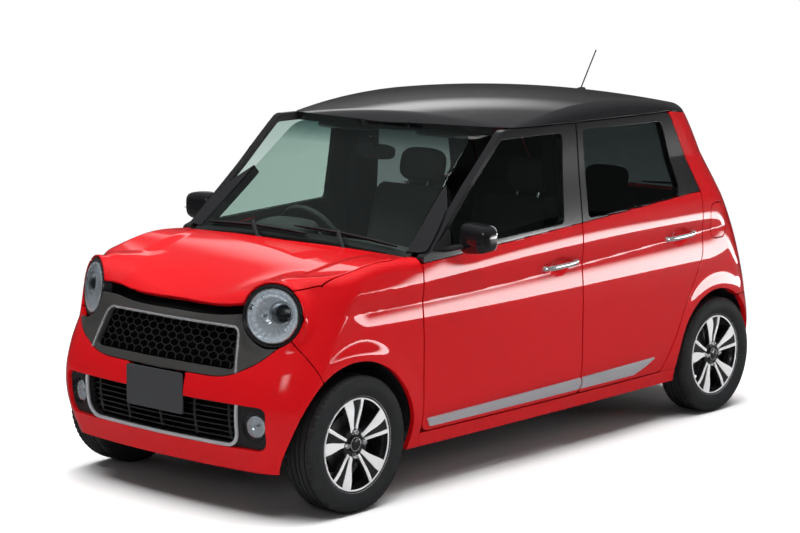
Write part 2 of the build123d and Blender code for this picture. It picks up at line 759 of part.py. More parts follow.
fuel_outline = rounded(
    (
        (FUEL_LID_X - FUEL_LID_HALF, FUEL_LID_Z - FUEL_LID_HEIGHT, 40.0),
        (FUEL_LID_X + FUEL_LID_HALF, FUEL_LID_Z - FUEL_LID_HEIGHT, 40.0),
        (FUEL_LID_X + FUEL_LID_HALF, FUEL_LID_Z + FUEL_LID_HEIGHT, 40.0),
        (FUEL_LID_X - FUEL_LID_HALF, FUEL_LID_Z + FUEL_LID_HEIGHT, 40.0),
    )
)
fuel_lid = (cabin_form(0.0) - cabin_form(FUEL_LID_WALL)) & prism_y(fuel_outline, 500, 820)
fuel_way = extrude(Plane.XZ.offset(-500) * grown(fuel_outline, FUEL_GAP), amount=320, dir=(0, 1, 0))
quarter_left = quarter - (fuel_way - cabin_form(FUEL_POCKET))

# Hinges of the lids


def lid_ear_spans(y):
    """Widths of the two ears beside a lid barrel."""
    inner = LID_BARREL_HALF + 1.0
    return ((y - inner - LID_EAR, y - inner), (y + inner, y + inner + LID_EAR))


cowl = block(COWL_REAR_X, COWL_REAR_X + 22, -COWL_HALF, COWL_HALF, COWL_TOP - COWL, 1040) & cabin_form(GLASS)
cowl += block(COWL_REAR_X, BONNET_AXIS_X + 14, -COWL_HALF, COWL_HALF, COWL_TOP - COWL, COWL_TOP)
cowl -= pair(hinge_pillar)
bonnet_bracket_top = 979.0
gate_arm_z = 1388.0
gate_arm = 14.0
for side in (-1, 1):
    y = side * BONNET_HINGE_Y
    y0 = y - LID_BARREL_HALF
    y1 = y + LID_BARREL_HALF
    bonnet += across(BONNET_AXIS_X, BONNET_AXIS_Z, LID_BARREL, y0, y1)
    bonnet += block(BONNET_AXIS_X - 6, BONNET_AXIS_X + 6, y0, y1, BONNET_AXIS_Z, bonnet_bracket_top)
    bonnet -= across(BONNET_AXIS_X, BONNET_AXIS_Z, LID_BORE, y0 - 1, y1 + 1)
    cowl += across(BONNET_AXIS_X, BONNET_AXIS_Z, LID_PIN, y0 - LID_EAR, y1 + LID_EAR)
    for ear0, ear1 in lid_ear_spans(y):
        ear_x0 = BONNET_AXIS_X - LID_EAR_ROUND
        ear_x1 = BONNET_AXIS_X + LID_EAR_ROUND
        cowl += block(ear_x0, ear_x1, ear0, ear1, COWL_TOP - COWL, BONNET_AXIS_Z)
        cowl += across(BONNET_AXIS_X, BONNET_AXIS_Z, LID_EAR_ROUND, ear0, ear1)
    y = side * TAILGATE_HINGE_Y
    y0 = y - LID_BARREL_HALF
    y1 = y + LID_BARREL_HALF
    tailgate += across(TAILGATE_AXIS_X, TAILGATE_AXIS_Z, LID_BARREL, y0, y1)
    tailgate += block(TAILGATE_AXIS_X - 20, TAILGATE_AXIS_X + 6, y0, y1, TAILGATE_AXIS_Z, TAILGATE_AXIS_Z + 8)
    tailgate -= across(TAILGATE_AXIS_X, TAILGATE_AXIS_Z, LID_BORE, y0 - 1, y1 + 1)
    roof += across(TAILGATE_AXIS_X, TAILGATE_AXIS_Z, LID_PIN, y0 - LID_EAR, y1 + LID_EAR)
    for ear0, ear1 in lid_ear_spans(y):
        arm_rear = TAILGATE_AXIS_X - LID_EAR_ROUND
        arm_front = TAILGATE_TOP_X + 60
        roof += block(arm_rear, arm_front, ear0, ear1, gate_arm_z, gate_arm_z + gate_arm)
        roof += block(arm_rear, TAILGATE_AXIS_X + LID_EAR_ROUND, ear0, ear1, gate_arm_z, TAILGATE_AXIS_Z)
        roof += across(TAILGATE_AXIS_X, TAILGATE_AXIS_Z, LID_EAR_ROUND, ear0, ear1)
        roof += block(arm_front - gate_arm, arm_front, ear0, ear1, gate_arm_z, 1480)

for side in (-1, 1):
    z = FUEL_LID_Z + side * 36
    fuel_lid += upright(FUEL_AXIS_X, FUEL_AXIS_Y, FUEL_BARREL, z - 8, z + 8)
    web = block(FUEL_AXIS_X - 3, FUEL_AXIS_X + 3, FUEL_AXIS_Y, FUEL_AXIS_Y + 20, z - 8, z + 8)
    fuel_lid += web & cabin_form(GLASS)
    fuel_lid -= upright(FUEL_AXIS_X, FUEL_AXIS_Y, FUEL_BORE, z - 9, z + 9)
    quarter_left += upright(FUEL_AXIS_X, FUEL_AXIS_Y, FUEL_PIN, z - 14, z + 14)
    for z0, z1 in ((z - 14, z - 9), (z + 9, z + 14)):
        quarter_left += block(FUEL_AXIS_X - 2.5, FUEL_AXIS_X + 2.5, FUEL_AXIS_Y - 45, FUEL_AXIS_Y, z0, z1)
        quarter_left += upright(FUEL_AXIS_X, FUEL_AXIS_Y, 2.5, z0, z1)

# Lamps and grilles
lamp_back = 96.0
lens_ball = (LENS_RADIUS ** 2 + LENS_BULGE ** 2) / (2 * LENS_BULGE)
headlamp = lamp_drum(LAMP_BEZEL, lamp_back, 2.0) - lamp_drum(LENS_RADIUS, lamp_back - 10, 2.0)
headlamp -= bonnet_space(PANEL_GAP) - nose_form(BONNET_WALL + PANEL_GAP)
ball_place = lamp_plane(1, LENS_BULGE - lens_ball).location
lens = ball_place * (Sphere(lens_ball) - Sphere(lens_ball - LENS_WALL))
lens &= lamp_drum(LENS_RADIUS, 4.0, LENS_BULGE + 5)
headlamps = pair(headlamp)
headlamp_lenses = pair(lens)

grille_band = nose_form(GRILLE_INSET) - nose_form(GRILLE_INSET + GRILLE_WALL)
hexes = []
for row in range(HEX_ROWS):
    for column in range(HEX_COLUMNS):
        shift = 0.5 if row % 2 else 0.0
        y = (column - (HEX_COLUMNS - 1) / 2 + shift - 0.25) * HEX_PITCH
        z = 634.0 + row * HEX_PITCH * 0.866
        if abs(y) < 362:
            hexes.append(Pos(y, z) * RegularPolygon(HEX_RADIUS, 6, rotation=30))
hex_plane = Plane.YZ.offset(mask_rear)
hex_holes = [extrude(hex_plane * hexagon, amount=nose_front - mask_rear, dir=(1, 0, 0)) for hexagon in hexes]
upper_grille = (grille_band & upper_opening) - hex_holes
lower_grille = (grille_band & lower_opening) - plate_space
for row in range(SLAT_ROWS):
    z = 308.0 + row * SLAT_PITCH
    lower_grille -= block(mask_rear, nose_front, -425, 425, z, z + SLAT_GAP)
fog_hole = rod((1500, FOG_Y, FOG_Z), (nose_front, FOG_Y, FOG_Z), FOG_RADIUS + 0.3)
lower_grille -= pair(fog_hole)
fog_lamp = rod((1612, FOG_Y, FOG_Z), (1652, FOG_Y, FOG_Z), FOG_RADIUS)

# Floor, bulkhead and the hidden frame under the nose
floor_pan = block(-985, FIREWALL_X + FIREWALL, -FLOOR_HALF, FLOOR_HALF, FLOOR_Z, FLOOR_TOP)
floor_pan += block(FIREWALL_X, FIREWALL_X + FIREWALL, -FLOOR_HALF, FLOOR_HALF, FLOOR_Z, COWL_TOP - COWL)
floor_pan += block(-985, -965, -470, 470, FLOOR_Z, LOAD_FLOOR)
floor_pan += block(LOAD_REAR_X, -965, -470, 470, LOAD_FLOOR - 20, LOAD_FLOOR)
floor_pan += block(LOAD_REAR_X, LOAD_REAR_X + 18, -400, 400, 300, BUMPER_TOP - 10)
front_frame = block(1572, 1612, -380, 380, 400, 480)
for side in (-1, 1):
    y0, y1 = sorted((side * RAIL_Y0, side * RAIL_Y1))
    front_frame += block(FIREWALL_X + FIREWALL, 1572, y0, y1, 400, 480)
    front_frame += block(1130, 1190, y0, y1, 190, 400)
front_frame += block(1130, 1190, -RAIL_Y1, RAIL_Y1, 190, 240)
radiator = block(1524, 1572, -RAIL_Y0, RAIL_Y0, 270, 640)
engine = block(985, 1440, -270, 270, 290, 790)
for side in (-1, 1):
    mount0, mount1 = sorted((side * 260, side * RAIL_Y0))
    engine += block(1230, 1300, mount0, mount1, 420, 470)
    engine += rod((AXLE_X, side * 260, 330), (AXLE_X, side * 520, 288), 13)

# Wheelhouses
def tower_block(half, z0, z1):
    """Square block on the strut tower's middle line."""
    return block(AXLE_X - half, AXLE_X + half, TOWER_Y - half, TOWER_Y + half, z0, z1)


front_house = across(AXLE_X, TYRE_RADIUS, FRONT_HOUSE, FRONT_HOUSE_Y0, FRONT_HOUSE_Y1)
front_house &= block(AXLE_X - 500, AXLE_X + 500, 0, 900, FRONT_HOUSE_LOW, 900)
tower_inner = TOWER_HALF - HOUSE_WALL
front_house += tower_block(TOWER_HALF, 560, TOWER_TOP)
front_house -= across(AXLE_X, TYRE_RADIUS, FRONT_HOUSE - HOUSE_WALL, FRONT_HOUSE_Y0 + HOUSE_WALL, 900)
front_house -= tower_block(tower_inner, 400, TOWER_TOP - HOUSE_WALL)
top_rod = 9.0
kingpin = Vector(*KINGPIN_TOP) - Vector(*KINGPIN_BOTTOM)
low_point = Vector(*KINGPIN_BOTTOM)


def on_kingpin(z):
    """Point of the left steering axis at a height."""
    return low_point + kingpin * ((z - low_point.Z) / kingpin.Z)


front_house -= rod(on_kingpin(770), on_kingpin(830), top_rod + 0.3)
shaft_hole = 34.0
front_house -= rod((AXLE_X, 260, 330), (AXLE_X, 520, 288), shaft_hole)
front_house &= nose_form(NOSE_WALL + HOUSE_GAP)
front_house = Part() + max(front_house.solids(), key=lambda solid: solid.volume)
rear_house = across(-AXLE_X, TYRE_RADIUS, REAR_HOUSE, REAR_HOUSE_Y0, REAR_HOUSE_Y1)
rear_house -= across(-AXLE_X, TYRE_RADIUS, REAR_HOUSE - 13, REAR_HOUSE_Y0 + HOUSE_WALL, REAR_HOUSE_Y1)
rear_house &= block(-AXLE_X - 500, -AXLE_X + 500, 0, 900, REAR_HOUSE_LOW, 900)
rear_house = rear_house - quarter - floor_pan - rear_bumper
rear_house = Part() + max(rear_house.solids(), key=lambda solid: solid.volume)

# Steered knuckles, arms and rear axle
knuckle = block(AXLE_X - 26, AXLE_X + 26, 556, 606, 196, 372)
knuckle += block(AXLE_X - 20, AXLE_X + 20, 520, 590, 340, 400)
knuckle += across(AXLE_X, TYRE_RADIUS, SPINDLE, 580, SPINDLE_END)
knuckle += across(AXLE_X, TYRE_RADIUS, 40.0, 580, 618)
knuckle += rod(on_kingpin(360), on_kingpin(775), STRUT_RADIUS)
knuckle += rod(on_kingpin(700), on_kingpin(798), top_rod)
knuckle += rod(on_kingpin(148), on_kingpin(230), BALL_PIN)
suspension_arm = rod(on_kingpin(150), on_kingpin(186), 25.0)
suspension_arm += rod((1160, 372, 212), (AXLE_X, 578, 170), 14.0)
suspension_arm += block(1136, 1184, RAIL_Y1, 392, 194, 236)
suspension_arm -= rod(on_kingpin(120), on_kingpin(220), BALL_PIN + 0.4)
rear_axle = across(-1080, 290, 34.0, -480, 480)
for side in (-1, 1):
    y = side * 470
    rear_axle += rod((-955, y, 186), (-1080, y, 290), 20.0)
    rear_axle += rod((-1080, y, 290), (-AXLE_X, side * 545, TYRE_RADIUS), 26.0)
    rear_axle += block(-985, -930, y - 20, y + 20, 172, FLOOR_Z)
    hub0, hub1 = sorted((side * 530, side * 606))
    rear_axle += block(-AXLE_X - 40, -AXLE_X + 40, hub0, hub1, 232, 330)
    spindle0, spindle1 = sorted((side * 580, side * SPINDLE_END))
    rear_axle += across(-AXLE_X, TYRE_RADIUS, SPINDLE, spindle0, spindle1)
rear_axle -= floor_pan

pipe_y = -400.0
pipe_z = FLOOR_Z - PIPE
exhaust = rod((1040, pipe_y + 200, 292), (960, pipe_y, pipe_z), PIPE)
exhaust += rod((960, pipe_y, pipe_z), (-1440, pipe_y, pipe_z), PIPE)
exhaust += block(-1600, -1430, pipe_y - 40, 60, pipe_z - 30, pipe_z + 90)
exhaust -= engine
fuel_tank = block(150, 640, -340, 340, 150, FLOOR_Z)

# Wheels


def tyre():
    """Tyre about the Y axis at the origin, outer side towards +Y."""
    half = TYRE_WIDTH / 2
    tread = 58.0
    edges = [
        ThreePointArc((RIM_RADIUS, BEAD_Y), (234, half), (268, 72)),
        ThreePointArc((268, 72), (275.5, 67), (TYRE_RADIUS, tread)),
        Line((TYRE_RADIUS, tread), (TYRE_RADIUS, -tread)),
        ThreePointArc((TYRE_RADIUS, -tread), (275.5, -67), (268, -72)),
        ThreePointArc((268, -72), (234, -half), (RIM_RADIUS, -BEAD_Y)),
        Line((RIM_RADIUS, -BEAD_Y), (RIM_RADIUS, BEAD_Y)),
    ]
    return revolve(make_face(edges), axis=Axis.Y)


def rim():
    """Alloy rim about the Y axis at the origin."""
    ring = across(0, 0, RIM_RADIUS, -BEAD_Y, BEAD_Y) - across(0, 0, RIM_RADIUS - RIM_WALL, -BEAD_Y, BEAD_Y)
    ring += across(0, 0, HUB_RADIUS, -25.0, 50.0)
    reach = RIM_RADIUS - RIM_WALL + 4
    for group in range(SPOKES):
        for turn, half in SPOKE_BLADES:
            blade = block(HUB_RADIUS - 14, reach, SPOKE_Y0, SPOKE_Y1, -half, half)
            ring += Rot(0, 360 / SPOKES * group + turn, 0) * blade
    return ring - across(0, 0, SPINDLE + 0.3, -30.0, 22.0)


tyre_shape = tyre()
rim_shape = rim()

# Cabin fittings
dash_outline = loop_of(
    (
        (FIREWALL_X, 560.0),
        (FIREWALL_X, COWL_TOP - COWL - 2),
        (COWL_REAR_X - 2, COWL_TOP - COWL - 2),
        (COWL_REAR_X - 2, 984.0),
        (700.0, 992.0),
        (565.0, 955.0),
        (545.0, 850.0),
        (640.0, 640.0),
        (660.0, 560.0),
    )
)
dashboard = prism_y(dash_outline, -FLOOR_HALF + 4, FLOOR_HALF - 4)
column_axis = Vector(cos(radians(COLUMN_TILT)), 0, -sin(radians(COLUMN_TILT)))
wheel_centre = Vector(COLUMN_X, COLUMN_Y, COLUMN_Z)
dashboard += rod(wheel_centre + column_axis * 60, wheel_centre + column_axis * 240, 30)
dashboard -= rod(wheel_centre + column_axis * 40, wheel_centre + column_axis * 130, 10.4)
wheel_plane = Plane(origin=wheel_centre, x_dir=(0, 1, 0), z_dir=column_axis * -1)
steering_wheel = wheel_plane.location * Torus(STEERING_RING, STEERING_TUBE)
steering_wheel += rod(wheel_centre - column_axis * 8, wheel_centre + column_axis * 40, 52)
steering_wheel += rod(wheel_centre + column_axis * 30, wheel_centre + column_axis * 110, 10)
for turn in (90.0, 210.0, 330.0):
    spoke = Pos(STEERING_RING / 2 + 12, 0, -8) * Box(STEERING_RING - 24, SPOKE_WIDTH, SPOKE_THICKNESS)
    steering_wheel += wheel_plane.location * (Rot(0, 0, turn - 60) * spoke)

seat_profile = rounded(
    (
        (380.0, 470.0, 40.0),
        (360.0, 560.0, 50.0),
        (-70.0, 505.0, 40.0),
        (-235.0, 1100.0, 40.0),
        (-345.0, 1110.0, 40.0),
        (-250.0, 430.0, 60.0),
        (100.0, 400.0, 20.0),
    )
)


def front_seat(middle, width):
    """One front seat on its runners."""
    shape = prism_y(seat_profile, middle - width / 2, middle + width / 2)
    shape += Pos(-345, middle, 1190) * (Rot(0, -12, 0) * Box(85, 270, 170))
    shape += rod((-320, middle - 60, 1060), (-340, middle - 60, 1150), 7)
    shape += rod((-320, middle + 60, 1060), (-340, middle + 60, 1150), 7)
    for rail in (-160, 160):
        shape += block(-200, 300, middle + rail - 18, middle + rail + 18, FLOOR_TOP, 440)
    return shape


rear_profile = rounded(
    (
        (-440.0, FLOOR_TOP, 10.0),
        (-430.0, 570.0, 50.0),
        (-790.0, 520.0, 40.0),
        (-870.0, 1090.0, 35.0),
        (-955.0, 1090.0, 30.0),
        (-955.0, FLOOR_TOP, 10.0),
    )
)
rear_seat = prism_y(rear_profile, -470, 470)
front_seats = Compound([solid for middle, width in FRONT_SEATS for solid in front_seat(middle, width).solids()])
inner_mirror = Pos(372, 0, 1335) * fillet(Box(34, 230, 70).edges(), 12)
inner_mirror += rod((385, 0, 1350), (400, 0, 1420), 8)
inner_mirror &= cabin_form(GLASS)
antenna = rod((ANTENNA_X, 0, 1500), (ANTENNA_X, 0, 1540), 20) - (cabin_form(0.0))
antenna += rod((ANTENNA_X - 5, 0, 1530), (-1233, 0, 1712), 3.5) - cabin_form(0.0)

pieces = {
    "windscreen": windscreen,
    "roof": roof,
    "front_pillars": pair(front_pillar),
    "sills": pair(sill),
    "door_pillars": Compound(list(pair(hinge_pillar).solids()) + list(pair(middle_pillar).solids())),
    "tailgate": tailgate,
    "tailgate_glass": tailgate_glass,
    "tail_lamps": pair(tail_lamp),
    "quarter_left": quarter_left,
    "quarter_right": flipped(quarter),
    "rear_bumper": rear_bumper,
    "fuel_lid": fuel_lid,
    "bonnet": bonnet,
    "grille_panel": grille_panel,
    "front_bumper": front_bumper,
    "plate_board": plate_board,
    "wings": wings,
    "cowl": cowl,
    "headlamps": headlamps,
    "headlamp_lenses": headlamp_lenses,
    "upper_grille": upper_grille,
    "lower_grille": lower_grille,
    "fog_lamps": pair(fog_lamp),
    "floor_pan": floor_pan,
    "front_frame": front_frame,
    "radiator": radiator,
    "engine": engine,
    "wheelhouses": Compound(list(pair(front_house).solids()) + list(pair(rear_house).solids())),
    "knuckle_left": knuckle,
    "knuckle_right": flipped(knuckle),
    "suspension_arms": pair(suspension_arm),
    "rear_axle": rear_axle,
    "exhaust": exhaust,
    "fuel_tank": fuel_tank,
    "dashboard": dashboard,
    "steering_wheel": steering_wheel,
    "front_seats": front_seats,
    "rear_seat": rear_seat,
    "inner_mirror": inner_mirror,
    "antenna": antenna,
}
for place, end, side in WHEELS:
    for kind, shape in (("tyre", tyre_shape), ("rim", rim_shape)):
        turned = shape if side > 0 else flipped(shape)
        pieces[kind + "_" + place] = Pos(end * AXLE_X, side * WHEEL_Y, TYRE_RADIUS) * turned
for name, shape in pieces.items():
    save(name, shape)
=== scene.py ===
import math
import bpy
import numpy as np
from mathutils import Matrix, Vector


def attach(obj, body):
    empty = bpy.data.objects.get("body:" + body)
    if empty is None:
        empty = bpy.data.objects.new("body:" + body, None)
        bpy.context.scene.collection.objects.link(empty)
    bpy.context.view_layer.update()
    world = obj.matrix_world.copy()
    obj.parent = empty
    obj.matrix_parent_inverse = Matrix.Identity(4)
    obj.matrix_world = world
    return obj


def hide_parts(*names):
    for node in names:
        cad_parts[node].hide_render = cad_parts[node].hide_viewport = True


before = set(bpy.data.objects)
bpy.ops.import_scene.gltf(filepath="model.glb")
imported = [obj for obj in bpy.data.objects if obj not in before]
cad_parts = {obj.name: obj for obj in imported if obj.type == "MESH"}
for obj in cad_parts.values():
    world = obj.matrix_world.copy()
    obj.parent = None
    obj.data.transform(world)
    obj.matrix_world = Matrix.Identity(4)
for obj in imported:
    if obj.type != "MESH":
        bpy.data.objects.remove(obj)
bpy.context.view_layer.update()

# Body form in millimetres, X forward, Y left, Z up, from the same sections as the CAD


class Spline:
    """Natural cubic through a few knots, held at its ends."""

    def __init__(self, xs, ys):
        self.x = np.array(xs, float)
        self.y = np.array(ys, float)
        n = len(xs)
        h = np.diff(self.x)
        a = np.eye(n)
        b = np.zeros(n)
        for i in range(1, n - 1):
            a[i, i - 1 : i + 2] = h[i - 1], 2 * (h[i - 1] + h[i]), h[i]
            b[i] = 6 * ((self.y[i + 1] - self.y[i]) / h[i] - (self.y[i] - self.y[i - 1]) / h[i - 1])
        self.m = np.linalg.solve(a, b)

    def __call__(self, x):
        x = np.clip(x, self.x[0], self.x[-1])
        i = np.clip(np.searchsorted(self.x, x) - 1, 0, len(self.x) - 2)
        h = self.x[i + 1] - self.x[i]
        p = (self.x[i + 1] - x) / h
        q = (x - self.x[i]) / h
        bend = ((p**3 - p) * self.m[i] + (q**3 - q) * self.m[i + 1]) * h * h / 6
        return p * self.y[i] + q * self.y[i + 1] + bend


# height, half width, side curvature
SIDE = np.array([
    (195, 697, 1 / 40000), (340, 731, 1 / 40000), (490, 737, 1 / 40000), (600, 738, 1 / 40000),
    (880, 738, 1 / 40000), (1040, 731, 1 / 25000), (1250, 709, 1 / 12000), (1446, 690, 1 / 12000),
    (1530, 660, 1 / 12000), (1600, 585, 1 / 12000),
])
half_width = Spline(SIDE[:, 0], SIDE[:, 1])
# height, front, corner radius
NOSE = np.array(
    [
        (195, 1655, 150), (340, 1693, 150), (490, 1697.5, 150), (600, 1668, 165), (760, 1603, 215),
        (900, 1545, 255), (1040, 1470, 260),
    ]
)
nose_front = Spline(NOSE[:, 0], NOSE[:, 1])
# height, tail, corner radius
TAIL = np.array(
    [
        (195, -1655, 150), (340, -1697.5, 150), (600, -1684, 180), (880, -1608, 240), (1040, -1540, 250),
        (1250, -1426, 260), (1446, -1300, 260), (1530, -1232, 255), (1600, -1165, 250),
    ]
)
tail_end = Spline(TAIL[:, 0], TAIL[:, 1])
# station, bonnet height at the middle, at the edge
BONNET = np.array(
    [
        (740, 1012, 955), (930, 998, 985), (1150, 962, 985), (1350, 912, 975), (1530, 840, 1060),
        (1760, 728, 948),
    ]
)
bonnet_mid = Spline(BONNET[:, 0], BONNET[:, 1])
bonnet_edge = Spline(BONNET[:, 0], BONNET[:, 2])
LAMP = np.array((1550.0, 533.0, 814.0))
LAMP_AXIS = np.array((
    math.cos(math.radians(23)) * math.cos(math.radians(8)),
    math.sin(math.radians(23)) * math.cos(math.radians(8)),
    math.sin(math.radians(8)),
))
AXLE = 1260.0
TRACK_HALF = 650.0
HUB_Z = 279.0
FRONT_ARCH = 335.0
REAR_ARCH = 322.0
SCREEN_BASE = np.array((886.0, 0.0, 1002.0))
SCREEN_TOP = np.array((342.0, 0.0, 1453.0))
SCREEN_LENGTH = float(np.linalg.norm(SCREEN_TOP - SCREEN_BASE))
RISE = (SCREEN_TOP - SCREEN_BASE) / SCREEN_LENGTH
SCREEN_OUT = np.array((-RISE[2] * -1, 0.0, -RISE[0]))
SCREEN_HALF = (613.0, 524.0)
SCREEN_BULGE = 18000.0
CREASE = Spline((-1500, -1084, -178, 879, 1281, 1450), (902, 888, 848, 811, 808, 806))
BELT = Spline((-1061, -177, 359, 900), (1077, 1026, 994, 962))
CREASE_DEPTH = 11.0
CREASE_ROUND = 0.7
# Middle of each outside door handle: x, z
HANDLES = ((-19.0, 856.0), (-942.0, 887.0))


def ease(t):
    t = np.clip(t, 0, 1)
    return t * t * (3 - 2 * t)


def smax(a, b, r):
    """The larger of two distances, with a round of radius r where they meet."""
    both = np.hypot(np.maximum(a + r, 0), np.maximum(b + r, 0)) - r
    return np.where((a > -r) & (b > -r), both, np.maximum(a, b))


def side_style(x, z):
    """Outward swell of the side: the crease with its shoulder, and the lips of the wheel arches."""
    line = CREASE(x)
    t = z - line
    strength = ease((1440 - x) / 260) * ease((x + 1500) / 330)
    below = -CREASE_DEPTH * np.maximum((t + 190) / 190, 0) ** 1.75
    rise = np.minimum(t / (BELT(x) - line - 4), 1)
    turn_in = 0.28 * ease((780 - x) / 240) * (np.maximum(rise - 0.55, 0) / 0.45) ** 2
    shoulder = 1 - (1 - np.minimum(rise, 0.55) / 0.55) ** 2 - turn_in
    above = -CREASE_DEPTH + (CREASE_DEPTH - 1) * shoulder
    swell = strength * ((below + above) / 2 + np.sqrt((below - above) ** 2 / 4 + CREASE_ROUND**2))
    for centre, radius in ((AXLE, FRONT_ARCH), (-AXLE, REAR_ARCH)):
        out = np.hypot(x - centre, z - HUB_Z) - radius
        swell = swell + 7 * ease(1 - out / 95) * ease((z - 150) / 200)
    for x0, z0 in HANDLES:
        bowl = np.hypot((x - x0) / 72, (z - z0 + 2) / 40)
        swell = swell - 15 * ease((1 - bowl) / 0.55)
    return swell


def side(x, z):
    curve = np.interp(z, SIDE[:, 0], SIDE[:, 2])
    return half_width(z) - 0.5 * curve * (x + 100) ** 2 + side_style(x, z)


def front(y, z):
    return nose_front(z) - 60 * (y / 700) ** 2


def tail(y, z):
    return tail_end(z) + 60 * (y / (half_width(z) - 60)) ** 2


def bonnet_top(x, y):
    base = bonnet_mid(x) + (bonnet_edge(x) - bonnet_mid(x)) * (y / 800) ** 2
    rib = np.abs(y) - np.interp(x, (900, 1500), (560, 455))
    return base + 7 * ease((rib + 60) / 70) * ease((1520 - x) / 160) * ease((x - 880) / 240)


def roof_top(x, y):
    arc = 3370 - np.sqrt(3370**2 - (x + 480) ** 2)
    crown = 5500 - np.sqrt(5500**2 - y**2)
    return 1577 - arc - crown


def nose(p):
    x, y, z = p[..., 0], np.abs(p[..., 1]), p[..., 2]
    corner = np.interp(z, NOSE[:, 0], NOSE[:, 2])
    plan = smax(y - side(x, z), x - front(y, z), corner)
    form = smax(plan, z - bonnet_top(x, y), 48)
    q = np.stack([x, y, z], -1) - LAMP
    along = q @ LAMP_AXIS
    collar = smax(np.linalg.norm(q - along[..., None] * LAMP_AXIS, axis=-1) - 138, along - 1, 8)
    return -smax(-form, -collar, 42)


def cabin(p):
    x, y, z = p[..., 0], np.abs(p[..., 1]), p[..., 2]
    corner = np.interp(z, TAIL[:, 0], TAIL[:, 2])
    plan = smax(y - side(x, z), tail(y, z) - x, corner)
    form = smax(plan, z - roof_top(x, y), 34)
    screen = (x - SCREEN_BASE[0]) * SCREEN_OUT[0] + (z - SCREEN_BASE[2]) * SCREEN_OUT[2] + y**2 / SCREEN_BULGE
    return smax(form, screen, 42)


def cast(form, origin, way, reach=1600.0):
    """Points where rays from inside leave a form, and the outward normals there."""
    low = np.zeros(origin.shape[:-1])
    high = np.full(origin.shape[:-1], reach)
    for step in range(30):
        middle = (low + high) / 2
        within = form(origin + way * middle[..., None]) < 0
        low = np.where(within, middle, low)
        high = np.where(within, high, middle)
    points = origin + way * low[..., None]
    return points, slope(form, points)


def slope(form, points):
    h = 0.8
    grads = [form(points + h * axis) - form(points - h * axis) for axis in np.eye(3)]
    normal = np.stack(grads, -1)
    return normal / np.maximum(np.linalg.norm(normal, axis=-1, keepdims=True), 1e-9)


def wrapped(form, sign, x_start, x_turn, y_turn, z_low, z_turn, step, top):
    """Grid over one end of the left half: round its corner to the middle, and up over its top."""
    columns = []
    run = abs(x_turn - x_start)
    for k in range(int(run / step)):
        columns.append((x_start + sign * k * step, 0.3 * y_turn, 0.0, 1.0))
    reach = 640.0 if sign < 0 else 470.0
    turns = int(reach * 1.57 / step)
    for k in range(turns):
        angle = math.pi / 2 * k / turns
        columns.append((x_turn, y_turn, sign * math.sin(angle), math.cos(angle)))
    for k in range(int(y_turn / step) + 1):
        columns.append((x_turn, y_turn * (1 - k / int(y_turn / step)), float(sign), 0.0))
    c = np.array(columns)
    base = np.stack([c[:, 0], c[:, 1], np.full(len(c), z_turn)], 1)
    out = np.stack([c[:, 2], c[:, 3], np.zeros(len(c))], 1)
    hit = cast(form, base, out)[0]
    inset = 120.0
    near = hit - out * inset
    crown = top(near[:, 0], near[:, 1])
    turn_z = crown - inset
    rows = int((turn_z.max() - z_low) / step)
    origins = []
    ways = []
    for k in range(rows + 1):
        z = z_low + (turn_z - z_low) * k / rows
        origins.append(np.stack([base[:, 0], base[:, 1], z], 1))
        ways.append(out)
    foot = np.stack([base[:, 0], base[:, 1], turn_z], 1)
    edge = cast(form, foot, out)[0]
    hinge = edge - out * inset
    arcs = int(inset * 1.57 / step) + 4
    for k in range(1, arcs + 1):
        angle = math.pi / 2 * k / arcs
        origins.append(hinge)
        ways.append(out * math.cos(angle) + np.array((0, 0, math.sin(angle))))
    for k in range(1, int(150 / step)):
        origins.append(hinge - out * k * step)
        ways.append(np.broadcast_to(np.array((0.0, 0.0, 1.0)), out.shape))
    return cast(form, np.stack(origins, 1), np.stack(ways, 1))


MIRROR = np.array((1.0, -1.0, 1.0))
SIDES = (("left", 1.0), ("right", -1.0))


def both_halves(points, normals):
    """A left half grid that ends on the middle line, carried on over the right half."""
    p = np.concatenate([points, (points * MIRROR)[-2::-1]])
    n = np.concatenate([normals, (normals * MIRROR)[-2::-1]])
    return p, n


def rounded(rows, steps=9):
    """Outline from corners with radii."""
    rows = [tuple(map(float, row)) for row in rows]
    points = []
    for k, (a, b, r) in enumerate(rows):
        here = np.array((a, b))
        before = np.array(rows[k - 1][:2]) - here
        after = np.array(rows[(k + 1) % len(rows)][:2]) - here
        u = before / np.linalg.norm(before)
        v = after / np.linalg.norm(after)
        if r < 0.5:
            points.append(here)
            continue
        angle = math.acos(np.clip(u @ v, -1, 1))
        tangent = r / math.tan(angle / 2)
        centre = here + (u + v) / np.linalg.norm(u + v) * r / math.sin(angle / 2)
        start = here + u * tangent - centre
        end = here + v * tangent - centre
        sweep = math.atan2(start[0] * end[1] - start[1] * end[0], start @ end)
        for i in range(steps + 1):
            t = sweep * i / steps
            turned = (
                start[0] * math.cos(t) - start[1] * math.sin(t),
                start[0] * math.sin(t) + start[1] * math.cos(t)
            )
            points.append(centre + turned)
    return np.array(points)


def inside(outline, a, b):
    """Signed distance to a closed outline, negative inside."""
    best = np.full(a.shape, 1e9)
    odd = np.zeros(a.shape, bool)
    for (x0, y0), (x1, y1) in zip(outline, np.roll(outline, -1, axis=0)):
        dx, dy = x1 - x0, y1 - y0
        t = np.clip(((a - x0) * dx + (b - y0) * dy) / max(dx * dx + dy * dy, 1e-9), 0, 1)
        best = np.minimum(best, (a - x0 - t * dx) ** 2 + (b - y0 - t * dy) ** 2)
        if y0 != y1:
            crosses = (y0 > b) != (y1 > b)
            odd ^= crosses & (a < (x1 - x0) * (b - y0) / (y1 - y0) + x0)
    return np.where(odd, -1, 1) * np.sqrt(best)


# Mesh helpers


